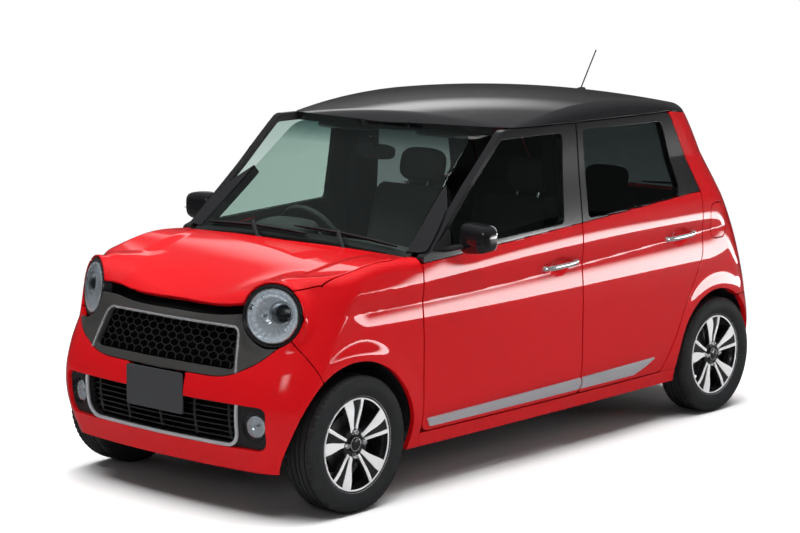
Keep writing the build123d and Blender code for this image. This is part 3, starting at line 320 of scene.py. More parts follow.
def mesh(name, verts, faces, materials, index=None, normals=None, sharp=32.0):
    data = bpy.data.meshes.new(name)
    data.from_pydata([tuple(v) for v in np.asarray(verts) * 0.001], [], faces)
    for m in materials if isinstance(materials, (list, tuple)) else [materials]:
        data.materials.append(m)
    if index is not None:
        data.polygons.foreach_set("material_index", index)
    data.validate()
    data.shade_smooth()
    if normals is None:
        data.set_sharp_from_angle(angle=math.radians(sharp))
    else:
        data.normals_split_custom_set(normals)
    obj = bpy.data.objects.new(name, data)
    bpy.context.collection.objects.link(obj)
    return obj


def put(obj, body, slot, *nodes):
    """Piece rides on a body and stands for CAD nodes; slot is not used."""
    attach(obj, body)
    if nodes:
        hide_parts(*nodes)
    return obj


def panel(name, points, normals, region, depth, materials, inner=None, lining=False, bevel=1.6):
    """Sheet where region is negative, with rounded edges, a return and, if lined, an inner face."""
    m = region.shape[1]
    p = points.reshape(-1, 3)
    n = normals.reshape(-1, 3)
    g = region.reshape(-1)
    low = (points - normals * np.asarray(depth)[..., None] if inner is None else inner).reshape(-1, 3)
    a = (np.arange(region.shape[0] - 1)[:, None] * m + np.arange(m - 1)[None]).ravel()
    quads = np.stack([a, a + m, a + m + 1, a + 1], 1)
    within = g[quads] < 0
    full = within.all(1)
    cut = within.any(1) & ~full
    turn = np.cross(p[quads[:, 1]] - p[quads[:, 0]], p[quads[:, 3]] - p[quads[:, 0]])
    if np.median(np.einsum("ij,ij->i", turn, n[quads[:, 0]])[full | cut]) < 0:
        quads = quads[:, ::-1]
    faces = quads[full].tolist()
    seen = {}
    ends = []
    for quad in quads[cut].tolist():
        poly = []
        for k in range(4):
            s, e = quad[k], quad[(k + 1) % 4]
            if g[s] < 0:
                poly.append(s)
            if (g[s] < 0) != (g[e] < 0):
                key = (min(s, e), max(s, e))
                if key not in seen:
                    seen[key] = len(p) + len(ends)
                    ends.append(key)
                poly.append(seen[key])
        if len(poly) > 2:
            faces.append(poly)
    if ends:
        e = np.array(ends)
        t = np.clip(g[e[:, 0]] / (g[e[:, 0]] - g[e[:, 1]]), 0.03, 0.97)[:, None]
        p = np.concatenate([p, p[e[:, 0]] * (1 - t) + p[e[:, 1]] * t])
        low = np.concatenate([low, low[e[:, 0]] * (1 - t) + low[e[:, 1]] * t])
        mixed = n[e[:, 0]] * (1 - t) + n[e[:, 1]] * t
        n = np.concatenate([n, mixed / np.linalg.norm(mixed, axis=1, keepdims=True)])
    used = np.unique(np.concatenate([np.array(f) for f in faces]))
    place = np.zeros(len(p), int)
    place[used] = np.arange(len(used))
    p, n, low = p[used], n[used], low[used]
    faces = [place[np.array(f)].tolist() for f in faces]
    edges = {(f[k], f[(k + 1) % len(f)]) for f in faces for k in range(len(f))}
    rim = [(s, e) for s, e in edges if (e, s) not in edges]
    inward = np.zeros_like(p)
    for s, e in rim:
        step = np.cross(n[s], p[e] - p[s])
        step /= max(np.linalg.norm(step), 1e-9)
        inward[s] += step
        inward[e] += step
    on = np.unique(np.array(rim).ravel())
    inward[on] /= np.maximum(np.linalg.norm(inward[on], axis=1, keepdims=True), 1e-9)
    ring = np.zeros(len(p), int)
    ring[on] = len(p) + np.arange(len(on))
    foot = np.zeros(len(p), int)
    foot[on] = len(p) + len(on) + np.arange(len(on))
    collar = p[on] - n[on] * bevel
    outer = p.copy()
    outer[on] += inward[on] * bevel
    verts = [outer, collar, low[on]]
    loops = [n[i] for f in faces for i in f]
    every = list(faces)
    index = [0] * len(faces)
    for s, e in rim:
        every.append([e, s, ring[s], ring[e]])
        loops += [n[e], n[s], -inward[s], -inward[e]]
        every.append([ring[e], ring[s], foot[s], foot[e]])
        loops += [-inward[e], -inward[s], -inward[s], -inward[e]]
        index += [0, 0]
    if lining:
        back = np.arange(len(p)) + len(p) + 2 * len(on)
        back[on] = foot[on]
        verts.append(low)
        for f in faces:
            every.append([int(back[i]) for i in reversed(f)])
            loops += [-n[i] for i in reversed(f)]
        index += [1 if isinstance(materials, (list, tuple)) and len(materials) > 1 else 0] * len(faces)
    every = [[int(i) for i in f] for f in every]
    verts = np.concatenate(verts)
    kept = np.unique(np.concatenate([np.array(f) for f in every]))
    where = np.zeros(len(verts), int)
    where[kept] = np.arange(len(kept))
    every = [where[np.array(f)].tolist() for f in every]
    return mesh(name, verts[kept], every, materials, index, [tuple(v) for v in loops])


# Finishes


def finish(
    name, colour, rough=0.4, metal=0.0, coat=0.0, scale=60.0, spread=0.08, grain=0.0, bump=0.0, spec=0.5
):
    """Procedural finish: two noises vary its colour and its sheen."""
    m = bpy.data.materials.new(name)
    m.use_nodes = True
    tree = m.node_tree
    shader = tree.nodes["Principled BSDF"]
    where = tree.nodes.new("ShaderNodeTexCoord")
    noise = tree.nodes.new("ShaderNodeTexNoise")
    noise.inputs["Scale"].default_value = scale
    noise.inputs["Detail"].default_value = 4.0
    tree.links.new(where.outputs["Object"], noise.inputs["Vector"])
    ramp = tree.nodes.new("ShaderNodeValToRGB")
    ramp.color_ramp.elements[0].position = 0.3
    ramp.color_ramp.elements[1].position = 0.7
    ramp.color_ramp.elements[0].color = (*[c * (1 - spread) for c in colour], 1)
    ramp.color_ramp.elements[1].color = (*[min(1, c * (1 + spread)) for c in colour], 1)
    tree.links.new(noise.outputs["Fac"], ramp.inputs["Fac"])
    tree.links.new(ramp.outputs["Color"], shader.inputs["Base Color"])
    sheen = tree.nodes.new("ShaderNodeMapRange")
    sheen.inputs["To Min"].default_value = max(0.0, rough - 0.06)
    sheen.inputs["To Max"].default_value = rough + 0.06
    tree.links.new(noise.outputs["Fac"], sheen.inputs["Value"])
    tree.links.new(sheen.outputs["Result"], shader.inputs["Roughness"])
    shader.inputs["Metallic"].default_value = metal
    shader.inputs["Coat Weight"].default_value = coat
    shader.inputs["Coat Roughness"].default_value = 0.02
    shader.inputs["Specular IOR Level"].default_value = spec
    if bump:
        fine = tree.nodes.new("ShaderNodeTexNoise")
        fine.inputs["Scale"].default_value = grain
        tree.links.new(where.outputs["Object"], fine.inputs["Vector"])
        raised = tree.nodes.new("ShaderNodeBump")
        raised.inputs["Strength"].default_value = bump
        raised.inputs["Distance"].default_value = 0.001
        tree.links.new(fine.outputs["Fac"], raised.inputs["Height"])
        tree.links.new(raised.outputs["Normal"], shader.inputs["Normal"])
    return m


def glazing(name, tint, band, low, high, gloss=0.0):
    """Thin pane: tinted see-through, mirror-like at a slant, with a darker band towards its top."""
    m = bpy.data.materials.new(name)
    m.use_nodes = True
    tree = m.node_tree
    tree.nodes.remove(tree.nodes["Principled BSDF"])
    out = tree.nodes["Material Output"]
    where = tree.nodes.new("ShaderNodeTexCoord")
    split = tree.nodes.new("ShaderNodeSeparateXYZ")
    tree.links.new(where.outputs["Object"], split.inputs["Vector"])
    noise = tree.nodes.new("ShaderNodeTexNoise")
    noise.inputs["Scale"].default_value = 3.0
    tree.links.new(where.outputs["Object"], noise.inputs["Vector"])
    level = tree.nodes.new("ShaderNodeMapRange")
    level.inputs["From Min"].default_value = low
    level.inputs["From Max"].default_value = high
    tree.links.new(split.outputs["Z"], level.inputs["Value"])
    ramp = tree.nodes.new("ShaderNodeValToRGB")
    ramp.color_ramp.elements[0].color = (*tint, 1)
    ramp.color_ramp.elements[1].color = (*band, 1)
    tree.links.new(level.outputs["Result"], ramp.inputs["Fac"])
    clear = tree.nodes.new("ShaderNodeBsdfTransparent")
    tree.links.new(ramp.outputs["Color"], clear.inputs["Color"])
    shine = tree.nodes.new("ShaderNodeBsdfGlossy")
    shine.inputs["Color"].default_value = (0.62, 0.66, 0.65, 1)
    waver = tree.nodes.new("ShaderNodeMapRange")
    waver.inputs["To Min"].default_value = gloss
    waver.inputs["To Max"].default_value = gloss + 0.015
    tree.links.new(noise.outputs["Fac"], waver.inputs["Value"])
    tree.links.new(waver.outputs["Result"], shine.inputs["Roughness"])
    slant = tree.nodes.new("ShaderNodeLayerWeight")
    slant.inputs["Blend"].default_value = 0.09
    mirror = tree.nodes.new("ShaderNodeMapRange")
    mirror.inputs["To Min"].default_value = 0.02
    mirror.inputs["To Max"].default_value = 0.8
    tree.links.new(slant.outputs["Facing"], mirror.inputs["Value"])
    mix = tree.nodes.new("ShaderNodeMixShader")
    tree.links.new(mirror.outputs["Result"], mix.inputs["Fac"])
    tree.links.new(clear.outputs["BSDF"], mix.inputs[1])
    tree.links.new(shine.outputs["BSDF"], mix.inputs[2])
    tree.links.new(mix.outputs["Shader"], out.inputs["Surface"])
    return m


RED = finish("red_paint", (0.50, 0.0030, 0.006), 0.34, 0.0, 1.0, 900.0, 0.10, spec=0.06)
BLACK_PAINT = finish("black_paint", (0.006, 0.006, 0.007), 0.25, 0.0, 1.0, 900.0, 0.2)
MASK = finish("satin_grey", (0.085, 0.082, 0.080), 0.38, 0.55, 0.1, 700.0, 0.15)
PLASTIC = finish("black_plastic", (0.014, 0.014, 0.015), 0.5, 0.0, 0.0, 300.0, 0.15, 900.0, 0.15)
GLOSS_PLASTIC = finish("gloss_plastic", (0.008, 0.008, 0.009), 0.2, 0.0, 0.5, 300.0, 0.15)
# Painted shade: a near-black matt finish for sheets put deep in gaps and openings to stand in for the shade
# inside them.
SHADE_BLACK = finish("void_painted_shade", (0.004, 0.004, 0.004), 0.9, 0.0, 0.0, 50.0, 0.3, spec=0.1)
CHROME = finish("chrome", (0.88, 0.89, 0.91), 0.16, 0.85, 0.0, 40.0, 0.03)
SILVER = finish("silver_trim", (0.56, 0.57, 0.60), 0.3, 0.55, 0.3, 800.0, 0.06)
MACHINED = finish("machined_alloy", (0.92, 0.92, 0.93), 0.34, 0.25, 0.3, 500.0, 0.04)
RIM_BLACK = finish("rim_black", (0.010, 0.010, 0.011), 0.25, 0.0, 0.8, 500.0, 0.15)
RUBBER = finish("tyre_rubber", (0.017, 0.018, 0.019), 0.62, 0.0, 0.0, 30.0, 0.18, 500.0, 0.15, 0.4)
STEEL = finish("under_steel", (0.035, 0.036, 0.038), 0.5, 0.5, 0.0, 25.0, 0.3, 200.0, 0.2)
BARE = finish("bare_steel", (0.30, 0.30, 0.30), 0.35, 0.9, 0.0, 45.0, 0.2, 300.0, 0.1)
CAST = finish("cast_metal", (0.20, 0.20, 0.205), 0.5, 0.8, 0.0, 60.0, 0.25, 350.0, 0.4)
TRIM = finish("cabin_trim", (0.045, 0.044, 0.044), 0.6, 0.0, 0.0, 200.0, 0.15, 1500.0, 0.3)
TRIM_PALE = finish("cabin_grey", (0.34, 0.33, 0.31), 0.65, 0.0, 0.0, 250.0, 0.1, 1500.0, 0.25)
CLOTH = finish("seat_cloth", (0.10, 0.095, 0.095), 0.85, 0.0, 0.0, 350.0, 0.35, 2200.0, 0.6, 0.2)
CLOTH_WARM = finish("seat_centre", (0.20, 0.15, 0.12), 0.85, 0.0, 0.0, 350.0, 0.3, 2200.0, 0.6, 0.2)
LAMP_RED = finish("lamp_red", (0.16, 0.002, 0.003), 0.12, 0.0, 1.0, 120.0, 0.35)
# Bright chrome for the headlamp and fog lamp bowls and the door mirror glass, with a faint painted glow: its
# emission stands in for the light these surfaces catch, not a lit lamp.
CHROME_WITH_PAINTED_GLOW = finish("lamp_bowl", (0.93, 0.94, 0.96), 0.10, 0.9, 0.0, 90.0, 0.04)
CHROME_WITH_PAINTED_GLOW.node_tree.nodes["Principled BSDF"].inputs["Emission Color"].default_value = (0.9, 0.95, 1, 1)
CHROME_WITH_PAINTED_GLOW.node_tree.nodes["Principled BSDF"].inputs["Emission Strength"].default_value = 0.11
CLEAR = glazing("clear_glass", (0.74, 0.82, 0.79), (0.62, 0.72, 0.69), 1.25, 1.46)
SCREEN = glazing("screen_glass", (0.84, 0.91, 0.88), (0.34, 0.44, 0.43), 1.36, 1.44)
PRIVACY = glazing("privacy_glass", (0.42, 0.45, 0.45), (0.36, 0.39, 0.39), 1.1, 1.45)
LENS = glazing("lamp_lens", (0.93, 0.95, 0.96), (0.85, 0.88, 0.90), 0.72, 0.92)

# Panels of the nose


MASK_LOW = Spline((0, 250, 400, 475, 545, 600, 652, 668), (561, 565, 580, 612, 655, 706, 790, 860))
BROW = Spline((-420, -370, 0, 370, 420), (818, 808, 790, 808, 818))
LIP = Spline((-420, -370, 0, 370, 420), (862, 850, 830, 850, 862))
FRONT_DOOR = rounded((
    (866, 264, 40), (866, 990, 12), (818, 1004, 12), (318, 1461, 60), (-176, 1461, 12), (-176, 264, 12),
))
REAR_DOOR = rounded(
    (
        (-186, 264, 12), (-186, 1461, 12), (-922, 1461, 45), (-1136, 1075, 80), (-1126, 780, 120),
        (-985, 555, 150), (-818, 264, 30),
    )
)
FRONT_WINDOW = rounded(((330, 1424, 35), (-78, 1428, 20), (-50, 1036, 20), (690, 1004, 20), (690, 1096, 20)))
REAR_WINDOW = rounded(((-225, 1430, 20), (-850, 1426, 30), (-968, 1075, 40), (-229, 1042, 20)))
UPPER_GRILLE = rounded(((-412, 600, 14), (412, 600, 14), (375, 756, 28), (-375, 756, 28)))
LOWER_OPENING = rounded(((-585, 290, 50), (585, 290, 50), (592, 470, 30), (-592, 470, 30)))
PLATE = rounded(((-166, 392, 8), (166, 392, 8), (166, 558, 8), (-166, 558, 8)))
BONNET_PLAN = rounded(
    (
        (930, 0, 0), (905, 655, 20), (1035, 680, 60), (1500, 632, 0), (1760, 600, 0), (1760, -600, 0),
        (1500, -632, 0), (1035, -680, 60), (905, -655, 20),
    )
)
TAILGATE = rounded((
    (528, 560, 40), (545, 985, 120), (530, 1380, 120), (505, 1600, 0), (-505, 1600, 0), (-530, 1380, 120),
    (-545, 985, 120), (-528, 560, 40),
))
TAILGATE_WINDOW = rounded(((-455, 1030, 50), (455, 1030, 50), (420, 1385, 50), (-420, 1385, 50)))
TAIL_LAMP = rounded(((560, 690, 30), (780, 690, 0), (780, 960, 0), (572, 960, 40)))
FUEL_LID = rounded(((-1330, 848, 40), (-1206, 848, 40), (-1206, 1012, 40), (-1330, 1012, 40)))
# Gaps and seams between the panels, and the station where the nose turns to the front
DOOR_GAP = 6.5
WING_REAR_X = 873.5
REAR_SEAM_Z = 552.0
FACE_X = 1385.0
SHUT = 2.0
SEAM = 1.4
LAMP_HOLE = 128.0


def lamp_distance(p):
    """Distance from the nearer headlamp's axis."""
    q = p * np.where(p[..., 1:2] < 0, MIRROR, 1.0) - LAMP
    return np.linalg.norm(np.cross(q, LAMP_AXIS), axis=-1)


def bonnet_lip(y):
    """Height of the bonnet's front edge."""
    return LIP(y) + 68 * np.clip((y - 420) / 220, 0, 1)


def in_bonnet(p, gap):
    x, y, z = p[..., 0], np.abs(p[..., 1]), p[..., 2]
    plan = inside(BONNET_PLAN, x, y) - gap
    skirt = np.maximum(z - bonnet_lip(y) + gap, FACE_X + gap - x)
    lid = np.maximum(lamp_distance(p) - 133 + gap, FACE_X + gap - x)
    return np.maximum.reduce([plan, -skirt, -lid])


def in_mask(p):
    x, y, z = p[..., 0], np.abs(p[..., 1]), p[..., 2]
    brow = z - BROW(y)
    return np.maximum(
        np.minimum(lamp_distance(p) - 127.5, np.maximum.reduce([MASK_LOW(y) - z, brow, y - 655])),
        FACE_X - x
    )


def in_bumper(p):
    x, z = p[..., 0], p[..., 2]
    seam = np.interp(z, (150, 566, 735), (1300, 1455, 1548))
    return np.maximum.reduce([(seam - x) * 0.93, z - 735, -in_mask(p)])


def arch_region(p, centre, radius):
    return radius - np.hypot(p[..., 0] - centre, p[..., 2] - HUB_Z)


NOSE_P, NOSE_N = wrapped(nose, 1, 868.0, 1330.0, 400.0, 195.0, 700.0, 9.0, bonnet_top)
hole = LAMP_HOLE - lamp_distance(NOSE_P)
not_bonnet = -in_bonnet(NOSE_P, 5.0)
wing = np.maximum.reduce(
    [
        WING_REAR_X - NOSE_P[..., 0], not_bonnet, arch_region(NOSE_P, AXLE, FRONT_ARCH), hole,
        -in_mask(NOSE_P) + SEAM, -in_bumper(NOSE_P) + SEAM,
        np.minimum(np.minimum(942 - NOSE_P[..., 0], 655 - NOSE_P[..., 1]), NOSE_P[..., 2] - 700),
        np.minimum(NOSE_P[..., 0] - FACE_X, 440 - NOSE_P[..., 1]),
    ]
)
for name, flip in SIDES:
    turn = np.array((1.0, flip, 1.0))
    node = ("wings",) if flip > 0 else ()
    put(
        panel("wing_" + name, NOSE_P * turn, NOSE_N * turn, wing, np.full(wing.shape, 22.0), RED), "body",
        "body_red", *node
    )

FRONT_P, FRONT_N = both_halves(NOSE_P, NOSE_N)
y, z = FRONT_P[..., 1], FRONT_P[..., 2]
hole = LAMP_HOLE - lamp_distance(FRONT_P)
bumper = np.maximum.reduce([
    in_bumper(FRONT_P) + SEAM, arch_region(FRONT_P, AXLE, FRONT_ARCH), -inside(LOWER_OPENING, y, z), hole,
    -in_bonnet(FRONT_P, 5.0), 2.5 - inside(PLATE, y, z),
])
put(
    panel("front_bumper_skin", FRONT_P, FRONT_N, bumper, np.full(y.shape, 24.0), RED), "body", "body_red",
    "front_bumper"
)
mask = np.maximum.reduce(
    [in_mask(FRONT_P) + SEAM, -inside(UPPER_GRILLE, y, z), hole, -in_bonnet(FRONT_P, 5.0)]
)
put(
    panel("grille_mask", FRONT_P, FRONT_N, mask, np.full(y.shape, 20.0), MASK), "body", "mask_grey",
    "grille_panel"
)
# Painted shade: a near-black sheet set 40 mm in fills the slot between the bonnet lip and the mask, where
# there is only shade.
slot_shade_region = np.maximum.reduce(
    [
        MASK_LOW(np.abs(y)) - z - 20, z - bonnet_lip(np.abs(y)) - 8, np.abs(y) - 470, hole + 4,
        FACE_X - FRONT_P[..., 0],
    ]
)
put(
    panel("nose_slot_shade", FRONT_P - FRONT_N * 40, FRONT_N, slot_shade_region, np.full(y.shape, 6.0), SHADE_BLACK), "body",
    "black_plastic"
)
rows = []
ways = []
across = np.linspace(-700, 700, 156)
start = np.stack([np.full(across.shape, 1250.0), across, np.full(across.shape, 800.0)], 1)
lead = cast(nose, start, np.broadcast_to(np.array((1.0, 0, 0)), start.shape))[0]
for k in range(5):
    rows.append(np.stack([start[:, 0], across, np.full(across.shape, 764.0 + 9 * k)], 1))
    ways.append(np.broadcast_to(np.array((1.0, 0, 0)), start.shape))
hinge = lead - np.array((120.0, 0, 0))
for k in range(1, 25):
    angle = math.radians(80 * k / 24)
    rows.append(hinge)
    ways.append(np.broadcast_to(np.array((math.cos(angle), 0, math.sin(angle))), start.shape))
tilt = np.array((math.cos(math.radians(80)), 0, math.sin(math.radians(80))))
for k in range(1, 62):
    rows.append(
        hinge * np.array((0, 1, 1)) + np.stack(
            [hinge[:, 0] + (890 - hinge[:, 0]) * k / 61, 0 * across, 40.0 * k / 61 + 0 * across], 1
        )
    )
    ways.append(np.broadcast_to(tilt, start.shape))
LID_P, LID_N = cast(nose, np.stack(rows, 1), np.stack(ways, 1))
lid = in_bonnet(LID_P, 0.0)
put(
    panel("bonnet_skin", LID_P, LID_N, lid, np.full(lid.shape, 18.0), [RED, STEEL], lining=True), "bonnet",
    "body_red", "bonnet"
)

# Doors, sills and side glass


def side_grid(x0, x1, z0, z1, step):
    xs = np.linspace(x0, x1, int(abs(x1 - x0) / step) + 1)
    zs = np.linspace(z0, z1, int(abs(z1 - z0) / step) + 1)
    x, z = np.meshgrid(xs, zs, indexing="ij")
    p = np.stack([x, side(x, z), z], -1)
    return p, slope(lambda q: np.abs(q[..., 1]) - side(q[..., 0], q[..., 2]), p)


DOORS = (
    ("front", FRONT_DOOR, FRONT_WINDOW, (-185, 876), CLEAR, "clear_glass"),
    ("rear", REAR_DOOR, REAR_WINDOW, (-1146, -178), PRIVACY, "privacy_glass"),
)
for end, outline, window, (x0, x1), pane, pane_slot in DOORS:
    p, n = side_grid(x0, x1, 256, 1470, 10.0)
    x, z = p[..., 0], p[..., 2]
    leaf = inside(outline, x, z) - SHUT
    hole = -inside(window, x, z)
    belt = z - BELT(x)
    deep = np.where(z < 985, 646.0, p[..., 1] - 36)
    deep = np.maximum(deep, 600.0)
    inner = np.stack([x, deep, z], -1)
    gp, gn = side_grid(x0, x1, 990, 1440, 14.0)
    pane_region = inside(window, gp[..., 0], gp[..., 2]) - 3
    for name, flip in SIDES:
        turn = np.array((1.0, flip, 1.0))
        body = "door_" + end + "_" + name
        lower = np.maximum.reduce([leaf, hole, belt + 1.0])
        upper = np.maximum.reduce([leaf, hole, 1.0 - belt])
        put(
            panel(body + "_skin", p * turn, n * turn, lower, None, [RED, TRIM], inner * turn, True), body,
            "body_red", body
        )
        put(
            panel(
                body + "_frame", p * turn, n * turn, upper, None, [BLACK_PAINT, TRIM], inner * turn, True
            ),
            body, "gloss_black"
        )
        put(
            panel(
                "pane_" + end + "_" + name, (gp - gn * 12) * turn, gn * turn, pane_region,
                np.full(pane_region.shape, 4.5), pane, None, True, 0.5
            ),
            body, pane_slot, "glass_" + end + "_" + name,
        )

p, n = side_grid(-1000, 880, 195, 262, 9.0)
sill = np.maximum.reduce(
    [p[..., 0] - WING_REAR_X, -990 - p[..., 0], p[..., 2] - 257, arch_region(p, -AXLE, REAR_ARCH)]
)
for name, flip in SIDES:
    turn = np.array((1.0, flip, 1.0))
    node = ("sills",) if flip > 0 else ()
    put(
        panel("sill_" + name, p * turn, n * turn, sill, np.full(sill.shape, 60.0), RED), "body", "body_red",
        *node
    )

# Tail panels
TAIL_P, TAIL_N = wrapped(cabin, -1, -780.0, -1000.0, 330.0, 195.0, 1000.0, 11.0, roof_top)
x, y, z = TAIL_P[..., 0], TAIL_P[..., 1], TAIL_P[..., 2]
ROOF_ZONE = rounded(
    (
        (400, 1700, 0), (386.7, 1506.9, 0), (278.2, 1376, 0), (-902, 1376, 0), (-902, 1470, 0),
        (-1190, 1442, 0), (-1190, 1700, 0),
    )
)
gate = np.maximum(inside(TAILGATE, y, z), x + 1204)
fuel = inside(FUEL_LID, x, z)
lamp = np.maximum(inside(TAIL_LAMP, y, z), x + 1490)
low = np.maximum(z - REAR_SEAM_Z, x + 1300)
way = inside(REAR_DOOR, x, z)
gate_way = np.maximum(inside(TAILGATE, y, z) - 6, x + 1190)
quarter = np.maximum.reduce([
    257 - z, DOOR_GAP - way, -gate_way, -low + SEAM, -lamp + SEAM, arch_region(TAIL_P, -AXLE, REAR_ARCH),
    -inside(ROOF_ZONE, x, z) + SEAM, x + 800,
])
for name, flip in SIDES:
    turn = np.array((1.0, flip, 1.0))
    region = np.maximum(quarter, 4.0 - fuel) if flip > 0 else quarter
    put(
        panel(
            "quarter_skin_" + name, TAIL_P * turn, TAIL_N * turn, region, np.full(region.shape, 40.0),
            [RED, TRIM], None, True
        ),
        "body", "body_red", "quarter_" + name,
    )
    node = ("tail_lamps",) if flip > 0 else ()
    put(
        panel(
            "tail_lamp_" + name, TAIL_P * turn, TAIL_N * turn, lamp + SEAM, np.full(lamp.shape, 20.0),
            LAMP_RED
        ),
        "body", "lamp_red", *node
    )
put(
    panel("fuel_lid_skin", TAIL_P, TAIL_N, fuel, np.full(fuel.shape, 6.0), RED, None, True), "fuel_lid",
    "body_red", "fuel_lid"
)

REAR_P, REAR_N = both_halves(TAIL_P, TAIL_N)
x, y, z = REAR_P[..., 0], REAR_P[..., 1], REAR_P[..., 2]
region = np.maximum.reduce([z - REAR_SEAM_Z + SEAM, x + 1300, arch_region(REAR_P, -AXLE, REAR_ARCH)])
put(
    panel("rear_bumper_skin", REAR_P, REAR_N, region, np.full(z.shape, 24.0), RED), "body", "body_red",
    "rear_bumper"
)
gate = np.maximum(inside(TAILGATE, y, z) - SHUT, x + 1204)
window = inside(TAILGATE_WINDOW, y, z)
put(
    panel(
        "tailgate_skin", REAR_P, REAR_N, np.maximum(gate, -window), np.full(z.shape, 32.0), [RED, TRIM],
        None, True
    ),
    "tailgate", "body_red", "tailgate",
)
put(
    panel(
        "tailgate_pane", REAR_P - REAR_N * 2, REAR_N, window + 1.5, np.full(z.shape, 4.0), PRIVACY, None,
        True, 0.5
    ),
    "tailgate", "privacy_glass", "tailgate_glass",
)

# Roof, front pillars and windscreen
origins = []
ways = []
stations = np.linspace(430, -1196, 110)
up = np.array((0, 0, 1.0))
left = np.array((0, 1.0, 0))
wide = side(stations, np.full(stations.shape, 1450.0))
crown = roof_top(stations, wide - 150)
for k in range(9):
    origins.append(np.stack([stations, 0 * stations, 1370 + (crown - 110 - 1370) * k / 8], 1))
    ways.append(np.broadcast_to(left, (len(stations), 3)))
hinge = np.stack([stations, wide - 150, crown - 110], 1)
for k in range(1, 29):
    angle = math.pi / 2 * k / 28
    origins.append(hinge)
    ways.append(np.broadcast_to(left * math.cos(angle) + up * math.sin(angle), hinge.shape))
for k in range(1, 51):
    origins.append(hinge * np.array((1, 1 - k / 50, 1)))
    ways.append(np.broadcast_to(up, hinge.shape))
p, n = cast(cabin, np.stack(origins, 0), np.stack(ways, 0))
ROOF_P, ROOF_N = both_halves(p, n)
x, y, z = ROOF_P[..., 0], ROOF_P[..., 1], ROOF_P[..., 2]


def screen_place(p):
    """Across and up along the windscreen."""
    return p[..., 1], (p - SCREEN_BASE) @ RISE


SCREEN_LINE = rounded(
    (
        (-SCREEN_HALF[0], 0, 40), (SCREEN_HALF[0], 0, 40), (SCREEN_HALF[1], SCREEN_LENGTH, 60),
        (-SCREEN_HALF[1], SCREEN_LENGTH, 60),
    )
)
a, b = screen_place(ROOF_P)
in_screen = np.maximum(inside(SCREEN_LINE, a, b), 250 - x)
region = np.maximum.reduce(
    [
        inside(ROOF_ZONE, x, z), DOOR_GAP - inside(FRONT_DOOR, x, z), DOOR_GAP - inside(REAR_DOOR, x, z),
        4 - in_screen,
    ]
)
put(
    panel(
        "roof_skin", ROOF_P, ROOF_N, region, np.full(z.shape, 40.0), [BLACK_PAINT, TRIM_PALE], None, True
    ),
    "body", "gloss_black", "roof"
)

run = np.linspace(-60, 760, 90)
edge = np.stack(
    [
        SCREEN_BASE[0] + RISE[0] * run, np.interp(run, (0, SCREEN_LENGTH), SCREEN_HALF),
        SCREEN_BASE[2] + RISE[2] * run
    ],
    1
)
core = edge - SCREEN_OUT * 80 - left * 60
origins = []
ways = []
for k in range(16, 0, -1):
    origins.append(core - SCREEN_OUT * 9 * k)
    ways.append(np.broadcast_to(left, core.shape))
for k in range(25):
    angle = math.pi / 2 * k / 24
    origins.append(core)
    ways.append(np.broadcast_to(left * math.cos(angle) + SCREEN_OUT * math.sin(angle), core.shape))
for k in range(1, 5):
    origins.append(core - left * 9 * k)
    ways.append(np.broadcast_to(SCREEN_OUT, core.shape))
p, n = cast(cabin, np.stack(origins, 0), np.stack(ways, 0), 500.0)
a, b = screen_place(p)
region = np.maximum.reduce([
    4 - inside(SCREEN_LINE, a, b), DOOR_GAP - inside(FRONT_DOOR, p[..., 0], p[..., 2]), 962 - p[..., 2],
    -inside(ROOF_ZONE, p[..., 0], p[..., 2]) + SEAM, p[..., 0] - 930,
])
for name, flip in SIDES:
    turn = np.array((1.0, flip, 1.0))
    node = ("front_pillars",) if flip > 0 else ()
    put(
        panel(
            "front_pillar_" + name, p * turn, n * turn, region, np.full(region.shape, 46.0),
            [BLACK_PAINT, TRIM], None, True
        ),
        "body", "gloss_black", *node,
    )

ys = np.linspace(-640, 640, 86)
ss = np.linspace(-10, SCREEN_LENGTH + 10, 50)
a, b = np.meshgrid(ys, ss, indexing="ij")
p = SCREEN_BASE + RISE * b[..., None] + left * a[..., None] - SCREEN_OUT * (
    a**2 / SCREEN_BULGE + 1.0
)[..., None]
n = np.broadcast_to(SCREEN_OUT, p.shape) + left * (a / 9000)[..., None]
n = n / np.linalg.norm(n, axis=-1, keepdims=True)
region = inside(SCREEN_LINE, a, b) + 1
put(
    panel("screen_pane", p, n, region, np.full(a.shape, 4.5), SCREEN, None, True, 0.6), "body",
    "clear_glass", "windscreen"
)

# Shapes for the fittings


def spun(name, profile, origin, axis, materials, steps=64, index=None, wave=None):
    """Surface of revolution from radius and travel along an axis."""
    axis = np.array(axis, float) / np.linalg.norm(axis)
    guide = np.array((0, 0, 1.0)) if abs(axis[2]) < 0.9 else np.array((1.0, 0, 0))
    e1 = np.cross(guide, axis)
    e1 /= np.linalg.norm(e1)
    e2 = np.cross(axis, e1)
    turn = np.linspace(0, 2 * math.pi, steps, endpoint=False)
    rows = []
    for k, (r, a) in enumerate(profile):
        swing = r + (wave(k, turn) if wave else 0 * turn)
        rows.append(
            origin + axis * a + swing[:, None] * (np.cos(turn)[:, None] * e1 + np.sin(turn)[:, None] * e2)
        )
    verts = np.concatenate(rows)
    faces = []
    marks = []
    for k in range(len(profile) - 1):
        for i in range(steps):
            j = (i + 1) % steps
            faces.append((k * steps + i, k * steps + j, (k + 1) * steps + j, (k + 1) * steps + i))
            marks.append(index[k] if index else 0)
    return mesh(name, verts, faces, materials, marks)


